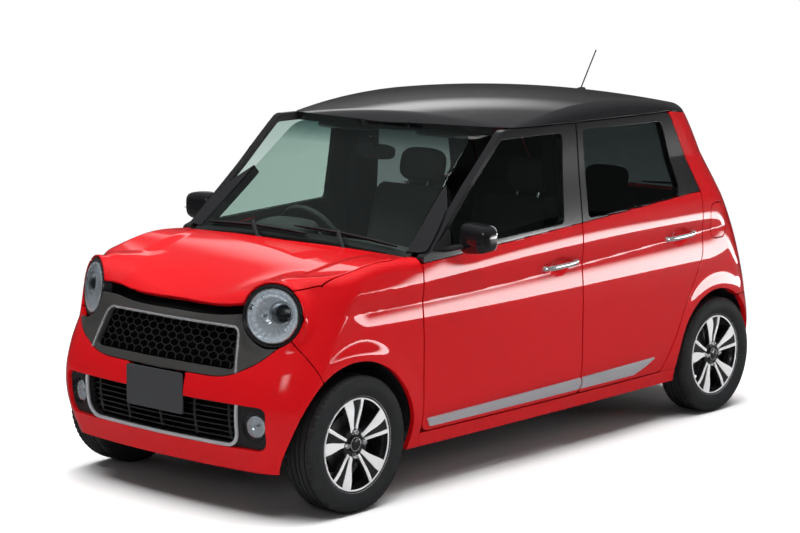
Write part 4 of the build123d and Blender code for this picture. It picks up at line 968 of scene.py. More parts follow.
def swept(name, path, wide, thick, material, closed=False, out=None, sides=12, taper=0.0):
    """Bar of oval section along a path; out gives the direction of its thickness at each point."""
    path = np.array(path, float)
    count = len(path)
    tangent = np.gradient(path, axis=0) if not closed else np.roll(path, -1, 0) - np.roll(path, 1, 0)
    tangent /= np.linalg.norm(tangent, axis=1, keepdims=True)
    out = np.broadcast_to(np.array(out if out is not None else (0, 0, 1.0), float), path.shape)
    flat = np.cross(tangent, out)
    flat /= np.linalg.norm(flat, axis=1, keepdims=True)
    lift = np.cross(flat, tangent)
    turn = np.linspace(0, 2 * math.pi, sides, endpoint=False)
    along = np.linspace(-1, 1, count)
    slim = 1 - taper * np.abs(along) ** 6
    verts = []
    for k in range(count):
        c = np.sign(np.cos(turn)) * np.abs(np.cos(turn)) ** 0.7 * wide / 2 * slim[k]
        s = np.sign(np.sin(turn)) * np.abs(np.sin(turn)) ** 0.7 * thick / 2 * slim[k]
        verts.append(path[k] + c[:, None] * flat[k] + s[:, None] * lift[k])
    verts = np.concatenate(verts)
    faces = []
    for k in range(count if closed else count - 1):
        n = (k + 1) % count
        for i in range(sides):
            j = (i + 1) % sides
            faces.append((k * sides + i, k * sides + j, n * sides + j, n * sides + i))
    if not closed:
        faces.append(tuple(range(sides - 1, -1, -1)))
        faces.append(tuple((count - 1) * sides + i for i in range(sides)))
    return mesh(name, verts, faces, material)


def lump(name, centre, size, material, power=4.0, turn=0.0, bend=None, n=28, m=18):
    """Soft-cornered solid: a superellipsoid, tilted about Y."""
    a, b = np.meshgrid(
        np.linspace(-math.pi, math.pi, n, endpoint=False), np.linspace(-math.pi / 2, math.pi / 2, m),
        indexing="ij"
    )

    def part(v):
        return np.sign(v) * np.abs(v) ** (2 / power)

    p = np.stack(
        [part(np.cos(b)) * part(np.cos(a)), part(np.cos(b)) * part(np.sin(a)), part(np.sin(b))], -1
    ) * np.array(size) / 2
    if bend is not None:
        p = bend(p)
    c, s = math.cos(math.radians(turn)), math.sin(math.radians(turn))
    x = p[..., 0] * c + p[..., 2] * s
    z = -p[..., 0] * s + p[..., 2] * c
    p = np.stack([x, p[..., 1], z], -1) + np.array(centre)
    verts = p.reshape(-1, 3)
    faces = []
    for i in range(n):
        j = (i + 1) % n
        for k in range(m - 1):
            faces.append((i * m + k, j * m + k, j * m + k + 1, i * m + k + 1))
    return mesh(name, verts, faces, material, sharp=50)


def front_grid(y0, y1, z0, z1, step, inset):
    """Grid on the nose's front face, set in by a depth."""
    ys = np.linspace(y0, y1, int((y1 - y0) / step) + 1)
    zs = np.linspace(z0, z1, int((z1 - z0) / step) + 1)
    y, z = np.meshgrid(ys, zs, indexing="ij")
    p = np.stack([front(y, z), y, z], -1)
    n = slope(lambda q: q[..., 0] - front(q[..., 1], q[..., 2]), p)
    return p - n * inset, n


def divided(edge, count):
    """An open line with each of its runs cut into equal steps."""
    steps = np.linspace(0, 1, count, endpoint=False)
    fine = [a * (1 - t) + b * t for a, b in zip(edge, edge[1:]) for t in steps]
    return np.array(fine + [edge[-1]])


def flutes(k, t):
    """Ripples of a headlamp's bowl, between its edge and its bottom."""
    return (1.6 if 1 < k < 6 else 0) * np.cos(24 * t)



# Headlamps
for name, sign in SIDES:
    flip = np.array((1.0, sign, 1.0))
    centre = LAMP * flip
    axis = LAMP_AXIS * flip
    out = np.cross(axis, (0, 0, 1.0)) * -sign
    out /= np.linalg.norm(out)
    high = np.cross(axis, out) * np.sign(np.cross(axis, out)[2])
    nodes = ("headlamps", "headlamp_lenses") if sign > 0 else ()
    bowl = [(107, -4), (104, -10), (98, -22), (84, -42), (62, -58), (36, -68), (1, -72)]
    # The bowl's bright chrome has a faint painted glow in its finish.
    reflector = spun(
        "lamp_bowl_" + name, bowl, centre, axis, CHROME_WITH_PAINTED_GLOW, 96, wave=flutes,
    )
    put(reflector, "body", "lamp_body", *nodes[:1])
    dome = [
        (1, 24), (30, 22.5), (58, 17.5), (82, 9.5), (98, 2), (106, -4), (106, -8), (97, -2), (80, 6),
        (57, 14), (30, 19.5), (1, 21)
    ]
    put(spun("lamp_lens_" + name, dome, centre, axis, LENS, 72), "body", "lens_clear", *nodes[1:])
    cell = centre + out * 34 + high * 12 - axis * 8
    ring = [(47, -22), (51, -4), (51, 4), (47, 6), (43, 4), (43, -6), (36, -24), (22, -34), (2, -38)]
    put(spun("lamp_cell_" + name, ring, cell, axis, CHROME, 48), "body", "lamp_body")
    ball = [(26, -24), (25, -8), (20, 2), (12, 8), (1, 10)]
    put(spun("lamp_ball_" + name, ball, cell, axis, GLOSS_PLASTIC, 40), "body", "lens_clear")
    cap = [(13, -14), (13, 4), (9, 9), (1, 10)]
    put(spun("lamp_cap_" + name, cap, centre - out * 44 - axis * 44, axis, CHROME, 32), "body", "lamp_body")
    bezel = [(127, -40), (127, -6), (125, -1), (121, 1), (114, -2), (109, -9), (108, -40)]
    put(spun("lamp_bezel_" + name, bezel, centre, axis, GLOSS_PLASTIC, 96), "body", "lamp_body")
    rim_line = [(108, -6), (108, 0), (105.5, 3), (103, 0), (103, -8)]
    put(spun("lamp_edge_" + name, rim_line, centre, axis, CHROME, 72), "body", "lamp_body")

# Upper grille: flattened honeycomb, and its chrome surround
p, n = front_grid(-416, 416, 596, 760, 3.4, 16)
y, z = p[..., 1], p[..., 2]
CELL_PITCH = 50.0
CELL_ROW = 25.0
best = np.full(y.shape, 1e9)
for shift in (0, 1):
    row = np.round((z - 612) / (2 * CELL_ROW) - shift / 2) + shift / 2
    dz = (z - 612 - row * 2 * CELL_ROW) * (CELL_PITCH * 0.866 / CELL_ROW)
    dy = y - shift * CELL_PITCH / 2
    dy = np.abs(dy - np.round(dy / CELL_PITCH) * CELL_PITCH)
    best = np.minimum(best, np.maximum(dy, 0.5 * dy + 0.866 * np.abs(dz)))
web = 21.5 - best
cells = np.maximum(inside(UPPER_GRILLE, y, z) + 1, web)
put(
    panel("upper_honeycomb", p, n, cells, np.full(y.shape, 14.0), GLOSS_PLASTIC, None, False, 0.8), "body",
    "black_plastic", "upper_grille"
)
edge = rounded(((428, 588, 0), (387, 757, 42), (-387, 757, 42), (-428, 588, 0)), 14)
fine = divided(edge, 12)
path = np.stack([front(fine[:, 0], fine[:, 1]) - 1.0, fine[:, 0], fine[:, 1]], 1)
put(swept("upper_surround", path, 11.0, 12.0, CHROME, out=(1.0, 0, 0.3)), "body", "bare_steel")

# Lower grille: recessed panel, slats, chrome surround and fog lamps
MOUTH = rounded(((-440, 297, 58), (440, 297, 58), (440, 480, 0), (-440, 480, 0)))
p, n = front_grid(-600, 600, 280, 484, 6.0, 15)
y, z = p[..., 1], p[..., 2]
plan = smax(np.abs(y) - side(p[..., 0], z) + 15, p[..., 0] - front(y, z) + 15, 150)
p = p - np.stack([np.maximum(plan, 0), 0 * y, 0 * y], -1)
fogs = np.hypot(np.abs(y) - 522, z - 385)
recess = np.maximum.reduce(
    [inside(LOWER_OPENING, y, z) - 1, -inside(MOUTH, y, z), 58 - fogs, 3 - inside(PLATE, y, z)]
)
put(
    panel("lower_recess", p, n, recess, np.full(y.shape, 30.0), PLASTIC), "body", "black_plastic",
    "lower_grille"
)
p, n = front_grid(-440, 440, 292, 484, 4.0, 34)
y, z = p[..., 1], p[..., 2]
bars = np.minimum.reduce([np.abs(z - level) - 3.2 for level in (322, 345, 368, 391, 414, 437, 460)])
posts = np.minimum.reduce([np.abs(np.abs(y) - place) - 7 for place in (0, 200, 385)])
slats = np.maximum.reduce([inside(MOUTH, y, z) + 2, np.minimum(bars, posts), z - 470])
put(
    panel("lower_slats", p, n, slats, np.full(y.shape, 22.0), GLOSS_PLASTIC, None, False, 0.8), "body",
    "black_plastic"
)
# Painted shade: a near-black sheet far behind the slats stands in for the shade inside the grille opening.
p, n = front_grid(-470, 470, 280, 500, 20.0, 62)
put(
    panel("lower_back", p, n, np.full(p.shape[:2], -1.0), np.full(p.shape[:2], 4.0), SHADE_BLACK), "body",
    "black_plastic"
)
edge = rounded(((447, 468, 0), (441, 297, 62), (-441, 297, 62), (-447, 468, 0)), 16)
fine = divided(edge, 10)
path = np.stack([front(fine[:, 0], fine[:, 1]) - 9.0, fine[:, 0], fine[:, 1]], 1)
put(swept("lower_surround", path, 15.0, 13.0, SILVER, out=(1.0, 0, 0.0)), "body", "bare_steel")
for name, sign in SIDES:
    axis = (math.cos(0.2), sign * math.sin(0.2), 0.02)
    place = np.array((1640.0, sign * 522, 385.0))
    node = ("fog_lamps",) if sign > 0 else ()
    bezel = [(62, -34), (62, 0), (59, 5), (53, 4), (46, -10), (43, -26)]
    put(spun("fog_bezel_" + name, bezel, place, axis, GLOSS_PLASTIC, 48), "body", "lamp_body", *node)
    bowl = [(44, -14), (36, -26), (20, -34), (1, -37)]
    # The fog lamp bowl's chrome has a faint painted glow in its finish.
    put(
        spun("fog_bowl_" + name, bowl, place, axis, CHROME_WITH_PAINTED_GLOW, 40, wave=lambda k, t: 0.9 * np.cos(16 * t)),
        "body", "lamp_body"
    )
    put(
        spun("fog_edge_" + name, [(45, -14), (45, -8), (42.5, -6), (40, -9)], place, axis, CHROME, 40),
        "body", "lamp_body"
    )
    dome = [(1, -2), (20, -4), (34, -8), (42, -13), (42, -15), (33, -11), (20, -7), (1, -5)]
    put(spun("fog_lens_" + name, dome, place, axis, LENS, 40), "body", "lens_clear")
    put(
        spun("fog_cap_" + name, [(9, -34), (9, -18), (6, -14), (1, -13)], place, axis, CHROME, 24), "body",
        "lamp_body"
    )

# Blank plate board
ys, zs = np.meshgrid(np.linspace(-170, 170, 49), np.linspace(388, 562, 27), indexing="ij")
flat = np.stack([np.full(ys.shape, 1697.2), ys, zs], -1)
ahead = np.broadcast_to(np.array((1.0, 0, 0)), flat.shape)
PLATE_GREY = finish("plate_grey", (0.040, 0.041, 0.045), 0.42, 0.0, 0.1, 500.0, 0.1)
put(
    panel(
        "plate_blank", flat, ahead, inside(PLATE, ys, zs), np.full(ys.shape, 8.0), PLATE_GREY, None, True,
        1.2
    ),
    "body", "black_plastic", "plate_board"
)

# Side trim, handles and mirrors
TRIM_LINE = rounded(((846, 318, 6), (822, 280, 10), (-590, 281, 20), (-756, 343, 3)))
for end, outline in (("front", FRONT_DOOR), ("rear", REAR_DOOR)):
    x0, x1 = (-180, 870) if end == "front" else (-780, -180)
    p, n = side_grid(x0, x1, 272, 350, 5.0)
    x, z = p[..., 0], p[..., 2]
    strip = np.maximum(inside(TRIM_LINE, x, z), inside(outline, x, z) + 2)
    ridge = 7 + 4 * ease(1 - np.abs(z - 312) / 30)
    hx, hz = HANDLES[0] if end == "front" else HANDLES[1]
    run = np.linspace(-124, 124, 40)
    bow = 27 * (1 - (run / 124) ** 4) + 3
    for name, sign in SIDES:
        flip = np.array((1.0, sign, 1.0))
        body = "door_" + end + "_" + name
        put(
            panel(
                "side_trim_" + end + "_" + name, (p + n * ridge[..., None]) * flip, n * flip, strip,
                ridge - 0.5, SILVER, None, False, 2.0
            ),
            body, "bare_steel"
        )
        skin = np.interp(run, (-124, 124), side(np.array((hx - 130, hx + 130)), np.full(2, hz)))
        line = np.stack([hx + run, skin + bow - 3, hz + run * -0.03], 1)
        put(
            swept(
                "handle_" + end + "_" + name, line * flip, 23.0, 11.0, CHROME, out=(0, sign, 0), sides=16,
                taper=0.55
            ),
            body, "bare_steel"
        )
        for k, dx in enumerate((-112, 112)):
            put(
                lump(
                    "handle_foot_" + end + "_" + name + "_%d" % k,
                    np.array(
                        (hx + dx, float(side(np.array(hx + dx), np.array(hz))) + 4, hz - dx * 0.03)
                    ) * flip,
                    (26, 24, 24), CHROME, 3.0
                ),
                body, "bare_steel"
            )


def mirror_form(p):
    """Mirror shell, narrower outboard and rounded to the front."""
    q = p.copy()
    q[..., 2] *= 1 - 0.10 * (p[..., 1] / 79)
    q[..., 0] -= 10 * (p[..., 1] / 79) ** 2
    return q


for name, sign in SIDES:
    body = "door_front_" + name
    flip = np.array((1.0, sign, 1.0))
    bend = lambda p: mirror_form(p * flip) * flip
    shell = lump(
        "mirror_shell_" + name, np.array((655.0, 822, 1052)) * flip, (100, 158, 126), BLACK_PAINT, 3.6, 0,
        bend, 48, 30
    )
    put(shell, body, "gloss_black", "mirror_" + name)
    foot = [(712, 688, 1004), (706, 715, 1008), (690, 745, 1014), (672, 775, 1022)]
    put(
        swept("mirror_foot_" + name, np.array(foot) * flip, 66.0, 22.0, PLASTIC, sides=14), body,
        "gloss_black"
    )
    # Mirror glass in bright chrome with a faint painted glow that stands in for its reflection.
    put(
        lump(
            "mirror_face_" + name, np.array((607.0, 820, 1052)) * flip, (8, 138, 106), CHROME_WITH_PAINTED_GLOW, 5.0, 0, None,
            36, 18
        ),
        body, "bare_steel"
    )
    put(
        lump(
            "mirror_lamp_" + name, np.array((694.0, 842, 1042)) * flip, (22, 96, 12), LENS, 3.0, 0, None,
            24, 10
        ),
        body, "lens_clear"
    )
    sail = side_grid(690, 800, 1004, 1098, 6.0)
    cheek = inside(
        rounded(((812, 1008, 6), (696, 1006, 8), (696, 1096, 8))), sail[0][..., 0], sail[0][..., 2]
    )
    put(
        panel(
            "mirror_sail_" + name, (sail[0] + sail[1] * 3) * flip, sail[1] * flip, cheek,
            np.full(cheek.shape, 6.0), PLASTIC
        ),
        body, "gloss_black"
    )

# Wipers at the foot of the windscreen, and the cowl they park on


def on_screen(a, b, lift):
    return SCREEN_BASE + RISE * b + left * a + SCREEN_OUT * (lift - a * a / SCREEN_BULGE)


# Each wiper: its pivot and the two ends of its blade, across and up along the screen
WIPERS = (((-180, -36), (-560, 40), (60, 26)), ((330, -40), (-40, 62), (560, 34)))
for k, (pivot, tip, root) in enumerate(WIPERS):
    arm = [
        on_screen(
            pivot[0] + (tip[0] * 0.55 + root[0] * 0.45 - pivot[0]) * t, pivot[1] + (56 - pivot[1]) * t,
            20 + 10 * math.sin(3 * t)
        )
        for t in np.linspace(0, 1, 14)
    ]
    put(
        swept("wiper_arm_%d" % k, arm, 16.0, 9.0, PLASTIC, out=SCREEN_OUT, taper=0.3), "body",
        "black_plastic"
    )
    blade = [
        on_screen(
            tip[0] + (root[0] - tip[0]) * t, tip[1] + (root[1] - tip[1]) * t + 6 * math.sin(3.1 * t), 9
        )
        for t in np.linspace(0, 1, 24)
    ]
    put(
        swept("wiper_blade_%d" % k, blade, 11.0, 15.0, PLASTIC, out=SCREEN_OUT, taper=0.4), "body",
        "black_plastic"
    )
    put(
        spun(
            "wiper_cap_%d" % k, [(15, -20), (15, 10), (11, 16), (1, 18)], on_screen(pivot[0], pivot[1], 8),
            SCREEN_OUT, PLASTIC, 28
        ),
        "body", "black_plastic"
    )
xs, ys = np.meshgrid(np.linspace(862, 946, 15), np.linspace(-648, 648, 110), indexing="ij")
rise = ease((894 - xs) / 28)  # the deck drops ahead of the screen, which leaves room for the bonnet to turn
slots = 2.4 * np.cos(ys / 9.0) * (np.abs(ys) < 430) * (np.abs(xs - 912) < 18)
deck = np.stack([xs, ys, 930 + 57 * rise - slots], -1)
up_n = np.broadcast_to(np.array((0.3, 0, 0.954)), deck.shape)
put(
    panel(
        "cowl_cover", deck, up_n, np.maximum(np.abs(ys) - 640, 866 - xs), np.full(xs.shape, 10.0), PLASTIC
    ),
    "body", "black_plastic"
)

# Roof aerial
put(
    lump(
        "aerial_foot", (-1111.0, 0, float(roof_top(-1111.0, 0.0)) + 6), (64, 34, 24), PLASTIC, 2.6, 6, None,
        28, 14
    ),
    "body", "black_plastic", "antenna"
)
mast = [
    np.array((-1113, 0, float(roof_top(-1111.0, 0.0)) + 12)) * (1 - t) + np.array((-1233, 0, 1711.0)) * t
    for t in np.linspace(0, 1, 60)
]
put(swept("aerial_mast", mast, 6.0, 6.0, PLASTIC, out=(1.0, 0, 0), sides=10), "body", "black_plastic")

# Wheels


def tyre_profile():
    """Radius and travel of the tyre from the inner bead over the tread to the outer bead."""
    half = [
        (190, 60), (196, 66), (206, 73), (220, 79.5), (236, 82), (250, 80.5), (258, 78.4), (259, 79),
        (262, 78), (267, 73.5), (271, 71)
    ]
    tread = [(273.5, 69), (276, 65), (277.4, 60), (278, 54)]
    flat = [(278.5, t) for t in (46, 43.5, 43.4, 36.6, 36.5, 24, 14.2, 14.1, 7.9, 7.8)]
    rows = half + tread + flat
    return [(r, -t) for r, t in rows] + [(r, t) for r, t in reversed(rows)]


def tread_wave(profile):
    grooves = {}
    for k, (r, t) in enumerate(profile):
        a = abs(t)
        if 36.55 < a < 43.45 or 7.85 < a < 14.15:
            grooves[k] = "ring"
        elif a > 46 and r > 268 and a < 72:
            grooves[k] = "block"
        elif r > 278 and a < 46:
            grooves[k] = "sipe"

    def wave(k, turn):
        kind = grooves.get(k)
        if kind == "ring":
            return -7 + 0 * turn
        if kind == "block":
            return -4.0 * (np.cos(72 * turn) > 0.62)
        if kind == "sipe":
            return -1.6 * (np.cos(72 * turn + profile[k][1] * 0.1) > 0.8)
        return 0 * turn

    return wave


TYRE = tyre_profile()
FACE_R = np.linspace(26, 190, 67)
FACE_T = np.linspace(0, 2 * math.pi, 361)
COARSE = np.s_[::2, ::2]  # every second point of the face, for the dark web behind it


def wheel_face():
    """Polar grid of the rim's outer face: radius, angle and dished travel."""
    r, t = np.meshgrid(FACE_R, FACE_T, indexing="ij")
    dish = 52 + 12 * ease((r - 60) / 100) - 6 * ease((70 - r) / 40)
    return r, t, dish


def blade_distance(r, t, lead, width, sweep):
    """How far a point lies outside one of five curved blades, across the blade."""
    middle = math.radians(lead) + sweep * (r / 190) ** 2
    step = 2 * math.pi / 5
    off = (t - middle + step / 2) % step - step / 2
    return np.abs(off) * r - width(r)


r, t, dish = wheel_face()
broad = blade_distance(r, t, 13.0, lambda q: 9.0 + 15.5 * ease((q - 60) / 120), 0.05)
slim = blade_distance(r, t, -8.5, lambda q: 4.8 + 3.0 * (q / 190), -0.03)
valley = blade_distance(r, t, 2.0, lambda q: 17 + 17 * (q / 190), 0.0)
hub = r - 66
lip = 182 - r
face_local = np.stack([r * np.sin(t), dish, r * np.cos(t)], -1)
face_normal = slope(lambda q: q[..., 1], face_local)
nuts = np.minimum.reduce(
    [
        np.hypot(face_local[..., 0] - 50 * math.sin(a), face_local[..., 2] - 50 * math.cos(a))
        for a in np.arange(4) * math.pi / 2
    ]
)
bright = np.maximum.reduce([np.minimum(broad, slim), 52 - r, 14.5 - nuts, r - 188])
bright = np.minimum(bright, np.maximum(183 - r, r - 189))
black = np.maximum(np.minimum.reduce([broad - 3, slim - 3, valley, hub, lip]), r - 188)
for end, sx in (("front", 1.0), ("rear", -1.0)):
    for name, sy in SIDES:
        label = end + "_" + name
        body = "wheel_" + label
        hubp = np.array((sx * AXLE, sy * TRACK_HALF, HUB_Z))
        turn = np.array((sy, sy, 1.0))
        place = lambda q: q * turn + hubp
        axis = (0.0, sy, 0.0)
        put(
            spun("tyre_tread_" + label, TYRE, hubp, axis, RUBBER, 216, wave=tread_wave(TYRE)), body, "tyre",
            "tyre_" + label
        )
        put(
            panel(
                "rim_face_" + label, place(face_local + face_normal * 0.6), face_normal * turn, bright,
                np.full(r.shape, 5.0), MACHINED, None, False, 0.8
            ),
            body, "alloy", "rim_" + label
        )
        web = place(face_local - face_normal * 3.0)[COARSE]
        web_depth = np.full(r.shape, 22.0)[COARSE]
        put(
            panel(
                "rim_web_" + label, web, (face_normal * turn)[COARSE], black[COARSE], web_depth, RIM_BLACK,
                None, True, 1.5
            ),
            body, "alloy"
        )
        barrel = [
            (191, 60), (196, 66), (199, 67.5), (200, 66), (193, 58), (187, 50), (178, 40), (170, 0),
            (172, -40), (188, -60), (192, -62), (192, -58), (174, -38), (174, 0), (182, 42), (191, 60)
        ]
        put(
            spun(
                "rim_barrel_" + label, barrel, hubp, axis, [MACHINED, RIM_BLACK], 96,
                index=[0, 0, 0, 0, 0] + [1] * 10
            ),
            body, "alloy"
        )
        cap = [(30, 40), (30, 53), (27, 55.5), (24, 54), (22, 54.5), (1, 57)]
        put(spun("wheel_cap_" + label, cap, hubp, axis, RIM_BLACK, 40), body, "alloy")
        put(
            spun(
                "cap_ring_" + label, [(29, 54.0), (29, 56), (27, 56.8), (25.5, 55.5)], hubp, axis, CHROME,
                40
            ),
            body, "alloy"
        )
        for k in range(4):
            a = k * math.pi / 2
            spot = place(np.array((50 * math.sin(a), 0, 50 * math.cos(a))))
            nut = [(13, 40), (13, 44), (9.6, 45), (9.6, 60), (8, 64), (1, 66)]
            put(spun("wheel_nut_" + label + "_%d" % k, nut, spot, axis, CHROME, 18), body, "bare_steel")
        disc = [(40, -8), (112, -8), (118, -6), (118, 6), (112, 8), (60, 8), (58, 22), (40, 24)]
        put(spun("brake_disc_" + label, disc, hubp, axis, BARE, 64), body, "bare_steel")

# Cabin: seats, dashboard, steering wheel and mirror


def seat_pad(name, middle, wide, line, thick, cloth, bolster, crown=14.0, across_n=30):
    """Stuffed pad along a line in X and Z, crowned, with side bolsters and sewn grooves; closed all round."""
    line = np.array(line, float)
    step = np.linalg.norm(np.diff(line, axis=0), axis=1)
    run = np.concatenate([[0], np.cumsum(step)])
    at = np.linspace(0, run[-1], 40)
    sx = Spline(run, line[:, 0])(at)
    sz = Spline(run, line[:, 1])(at)
    t = np.stack([np.gradient(sx), np.gradient(sz)], 1)
    t /= np.linalg.norm(t, axis=1, keepdims=True)
    out = np.stack([-t[:, 1], t[:, 0]], 1)
    turn = np.linspace(0, 2 * math.pi, 2 * across_n, endpoint=False)
    c = np.sign(np.cos(turn)) * np.abs(np.cos(turn)) ** 0.45
    s = np.sign(np.sin(turn)) * np.abs(np.sin(turn)) ** 0.55
    rows = []
    for k, u in enumerate(np.linspace(-1, 1, len(at))):
        end = (1 - np.abs(u) ** 7) ** 0.5 if abs(u) < 1 else 0.02
        y = c * wide / 2 * (0.90 + 0.10 * end)
        q = np.abs(c)
        face = crown * (1 - q**2) * (1 - u**2) + bolster * ease((q - 0.58) / 0.28) * (1 - u**4)
        groove = -5.0 * np.exp(-(((q - 0.56) * wide / 2 / 7.0) ** 2)) - 4.0 * np.exp(
            -(((u - 0.28) * run[-1] / 2 / 7.0) ** 2)
        ) * (q < 0.6)
        h = s * thick / 2 * end + np.where(s > 0.2, face + groove, 0) * end
        rows.append(np.stack([sx[k] + out[k, 0] * h, middle + y, sz[k] + out[k, 1] * h], 1))
    verts = np.concatenate(rows)
    ring = 2 * across_n
    faces = []
    marks = []
    for k in range(len(at) - 1):
        for i in range(ring):
            j = (i + 1) % ring
            faces.append((k * ring + i, k * ring + j, (k + 1) * ring + j, (k + 1) * ring + i))
            marks.append(1 if abs(c[i]) < 0.55 and s[i] > 0 else 0)
    faces.append(tuple(range(ring - 1, -1, -1)))
    faces.append(tuple((len(at) - 1) * ring + i for i in range(ring)))
    marks += [0, 0]
    return mesh(name, verts, faces, cloth, marks, sharp=60)


for name, sign in SIDES:
    middle = sign * 330
    back = seat_pad(
        "seat_back_" + name, middle, 450, ((-118, 520), (-160, 700), (-222, 940), (-268, 1105)), 116,
        [CLOTH, CLOTH_WARM], 34
    )
    node = ("front_seats",) if sign > 0 else ()
    put(back, "body", "seat_cloth", *node)
    cushion = seat_pad(
        "seat_cushion_" + name, middle, 470, ((372, 508), (240, 520), (60, 494), (-110, 478)), 118,
        [CLOTH, CLOTH_WARM], 26
    )
    put(cushion, "body", "seat_cloth")
    head = lump("head_rest_" + name, (-322, middle, 1196), (92, 258, 162), CLOTH, 3.2, -12, None, 36, 22)
    put(head, "body", "seat_cloth")
    for k, dy in enumerate((-60, 60)):
        put(
            swept(
                "head_post_" + name + "_%d" % k,
                [(-272, middle + dy, 1070), (-296, middle + dy, 1130), (-312, middle + dy, 1170)], 12, 12,
                CHROME, out=(1.0, 0, 0)
            ),
            "body", "bare_steel"
        )
    for k, dy in enumerate((-170, 170)):
        put(
            swept(
                "seat_runner_" + name + "_%d" % k,
                [(-220, middle + dy, 262), (60, middle + dy, 262), (320, middle + dy, 268)], 44, 34, STEEL
            ),
            "body", "under_steel"
        )
    put(
        lump("seat_base_" + name, (90, middle, 360), (430, 400, 170), TRIM, 5.0, 2, None, 32, 16), "body",
        "trim"
    )
bench = seat_pad(
    "rear_cushion", 0, 1000, ((-440, 470), (-560, 500), (-690, 476), (-800, 452)), 130, [CLOTH, CLOTH_WARM],
    14
)
put(bench, "body", "seat_cloth", "rear_seat")
for name, sign in SIDES:
    back = seat_pad(
        "rear_back_" + name, sign * 238, 464, ((-812, 500), (-838, 700), (-872, 900), (-905, 1085)), 104,
        [CLOTH, CLOTH_WARM], 16
    )
    put(back, "body", "seat_cloth")
    rest = lump(
        "rear_head_rest_" + name, (-930, sign * 300, 1132), (80, 240, 120), CLOTH, 3.2, -10, None, 32, 20
    )
    put(rest, "body", "seat_cloth")
put(lump("rear_seat_box", (-640, 0, 330), (380, 900, 200), TRIM, 6.0, 0, None, 40, 14), "body", "trim")


def dash_skin(x, z, wide, bulge):
    """Strip of dashboard across the car from a side profile, rounded towards the doors."""
    ys = np.linspace(-wide, wide, 60)
    drop = (np.abs(ys) / wide) ** 8
    rows = []
    for px, pz in zip(x, z):
        rows.append(np.stack([px + bulge * drop, ys, pz - 18 * drop], 1))
    return np.stack(rows, 0)


profile = rounded(
    (
        (862, 700, 0), (862, 984, 14), (700, 996, 60), (566, 962, 36), (548, 860, 40), (642, 660, 60),
        (664, 560, 0), (862, 560, 0)
    ),
    8
)
rows = dash_skin(profile[:, 0], profile[:, 1], 552, 26)
verts = rows.reshape(-1, 3)
width = rows.shape[1]
faces = []
for k in range(len(rows)):
    n = (k + 1) % len(rows)
    for i in range(width - 1):
        faces.append((k * width + i, k * width + i + 1, n * width + i + 1, n * width + i))
faces.append(tuple(k * width for k in range(len(rows))))
faces.append(tuple(k * width + width - 1 for k in reversed(range(len(rows)))))
put(mesh("dash_body", verts, faces, TRIM, sharp=40), "body", "trim", "dashboard")
put(lump("dash_hood", (600, -330, 985), (170, 330, 84), TRIM, 3.0, 8, None, 40, 20), "body", "trim")
put(
    lump("dash_screen", (548, 0, 880), (20, 250, 130), GLOSS_PLASTIC, 6.0, -8, None, 36, 16), "body",
    "lamp_body"
)
put(lump("dash_panel", (552, 330, 870), (18, 380, 96), TRIM_PALE, 6.0, -8, None, 36, 16), "body", "trim")
put(lump("console", (600, 0, 700), (110, 230, 260), TRIM_PALE, 5.0, 24, None, 36, 18), "body", "trim")
put(
    swept(
        "shift_lever", [(556, -60, 760), (520, -60, 800), (498, -60, 842)], 16, 16, CHROME, out=(0, 1.0, 0)
    ),
    "body", "bare_steel"
)
put(
    lump("shift_knob", (492, -60, 852), (44, 44, 56), GLOSS_PLASTIC, 2.6, 20, None, 24, 16), "body",
    "lamp_body"
)
for k, place in enumerate((-505, -150, 150, 505)):
    put(
        spun(
            "dash_vent_%d" % k, [(42, -6), (42, 6), (38, 9), (34, 4), (10, 2), (1, 2)],
            np.array((558, place, 925)), (-1.0, 0, 0.15), GLOSS_PLASTIC, 36
        ),
        "body", "lamp_body"
    )

COLUMN = np.array((430.0, -330.0, 905.0))
TILT = math.radians(26)
BACK = np.array((-math.cos(TILT), 0, math.sin(TILT)))
UPRIGHT = np.array((math.sin(TILT), 0, math.cos(TILT)))
ring = [
    COLUMN + 180 * (math.cos(a) * UPRIGHT + math.sin(a) * left)
    for a in np.linspace(0, 2 * math.pi, 72, endpoint=False)
]
put(
    swept("steering_ring", ring, 27, 27, TRIM, True, out=BACK, sides=14), "steering_wheel", "trim",
    "steering_wheel"
)
put(
    lump("steering_pad", COLUMN - BACK * 8, (62, 150, 116), TRIM, 2.8, -26, None, 36, 20), "steering_wheel",
    "trim"
)
for k, a in enumerate((90, 270, 150, 210)):
    turn = math.radians(a)
    way = math.cos(turn) * UPRIGHT + math.sin(turn) * left
    bar = [COLUMN + way * (40 + 136 * t) - BACK * (16 * (1 - t)) for t in np.linspace(0, 1, 10)]
    put(
        swept("steering_spoke_%d" % k, bar, 34 if k < 2 else 22, 13, SILVER if k > 1 else TRIM, out=BACK),
        "steering_wheel", "trim"
    )
put(
    swept(
        "steering_shaft", [COLUMN - BACK * 30, COLUMN - BACK * 70, COLUMN - BACK * 108], 20, 20, STEEL,
        out=(0, 1.0, 0)
    ),
    "steering_wheel", "trim"
)
put(lump("column_cowl", COLUMN - BACK * 160, (150, 110, 100), TRIM, 3.4, 26, None, 32, 18), "body", "trim")
for k, sign in enumerate((1, -1)):
    stalk = [
        COLUMN - BACK * 110 + left * sign * (50 + 130 * t) + UPRIGHT * 14 * t for t in np.linspace(0, 1, 8)
    ]
    put(swept("column_stalk_%d" % k, stalk, 14, 10, TRIM, out=BACK), "body", "trim")
put(
    lump("inner_mirror_shell", (372, 0, 1335), (32, 230, 68), GLOSS_PLASTIC, 3.2, -8, None, 40, 20), "body",
    "lamp_body", "inner_mirror"
)
put(
    swept(
        "inner_mirror_stem", [(384, 0, 1350), (392, 0, 1380), (398, 0, 1404)], 16, 16, PLASTIC,
        out=(0, 1.0, 0)
    ),
    "body", "black_plastic"
)
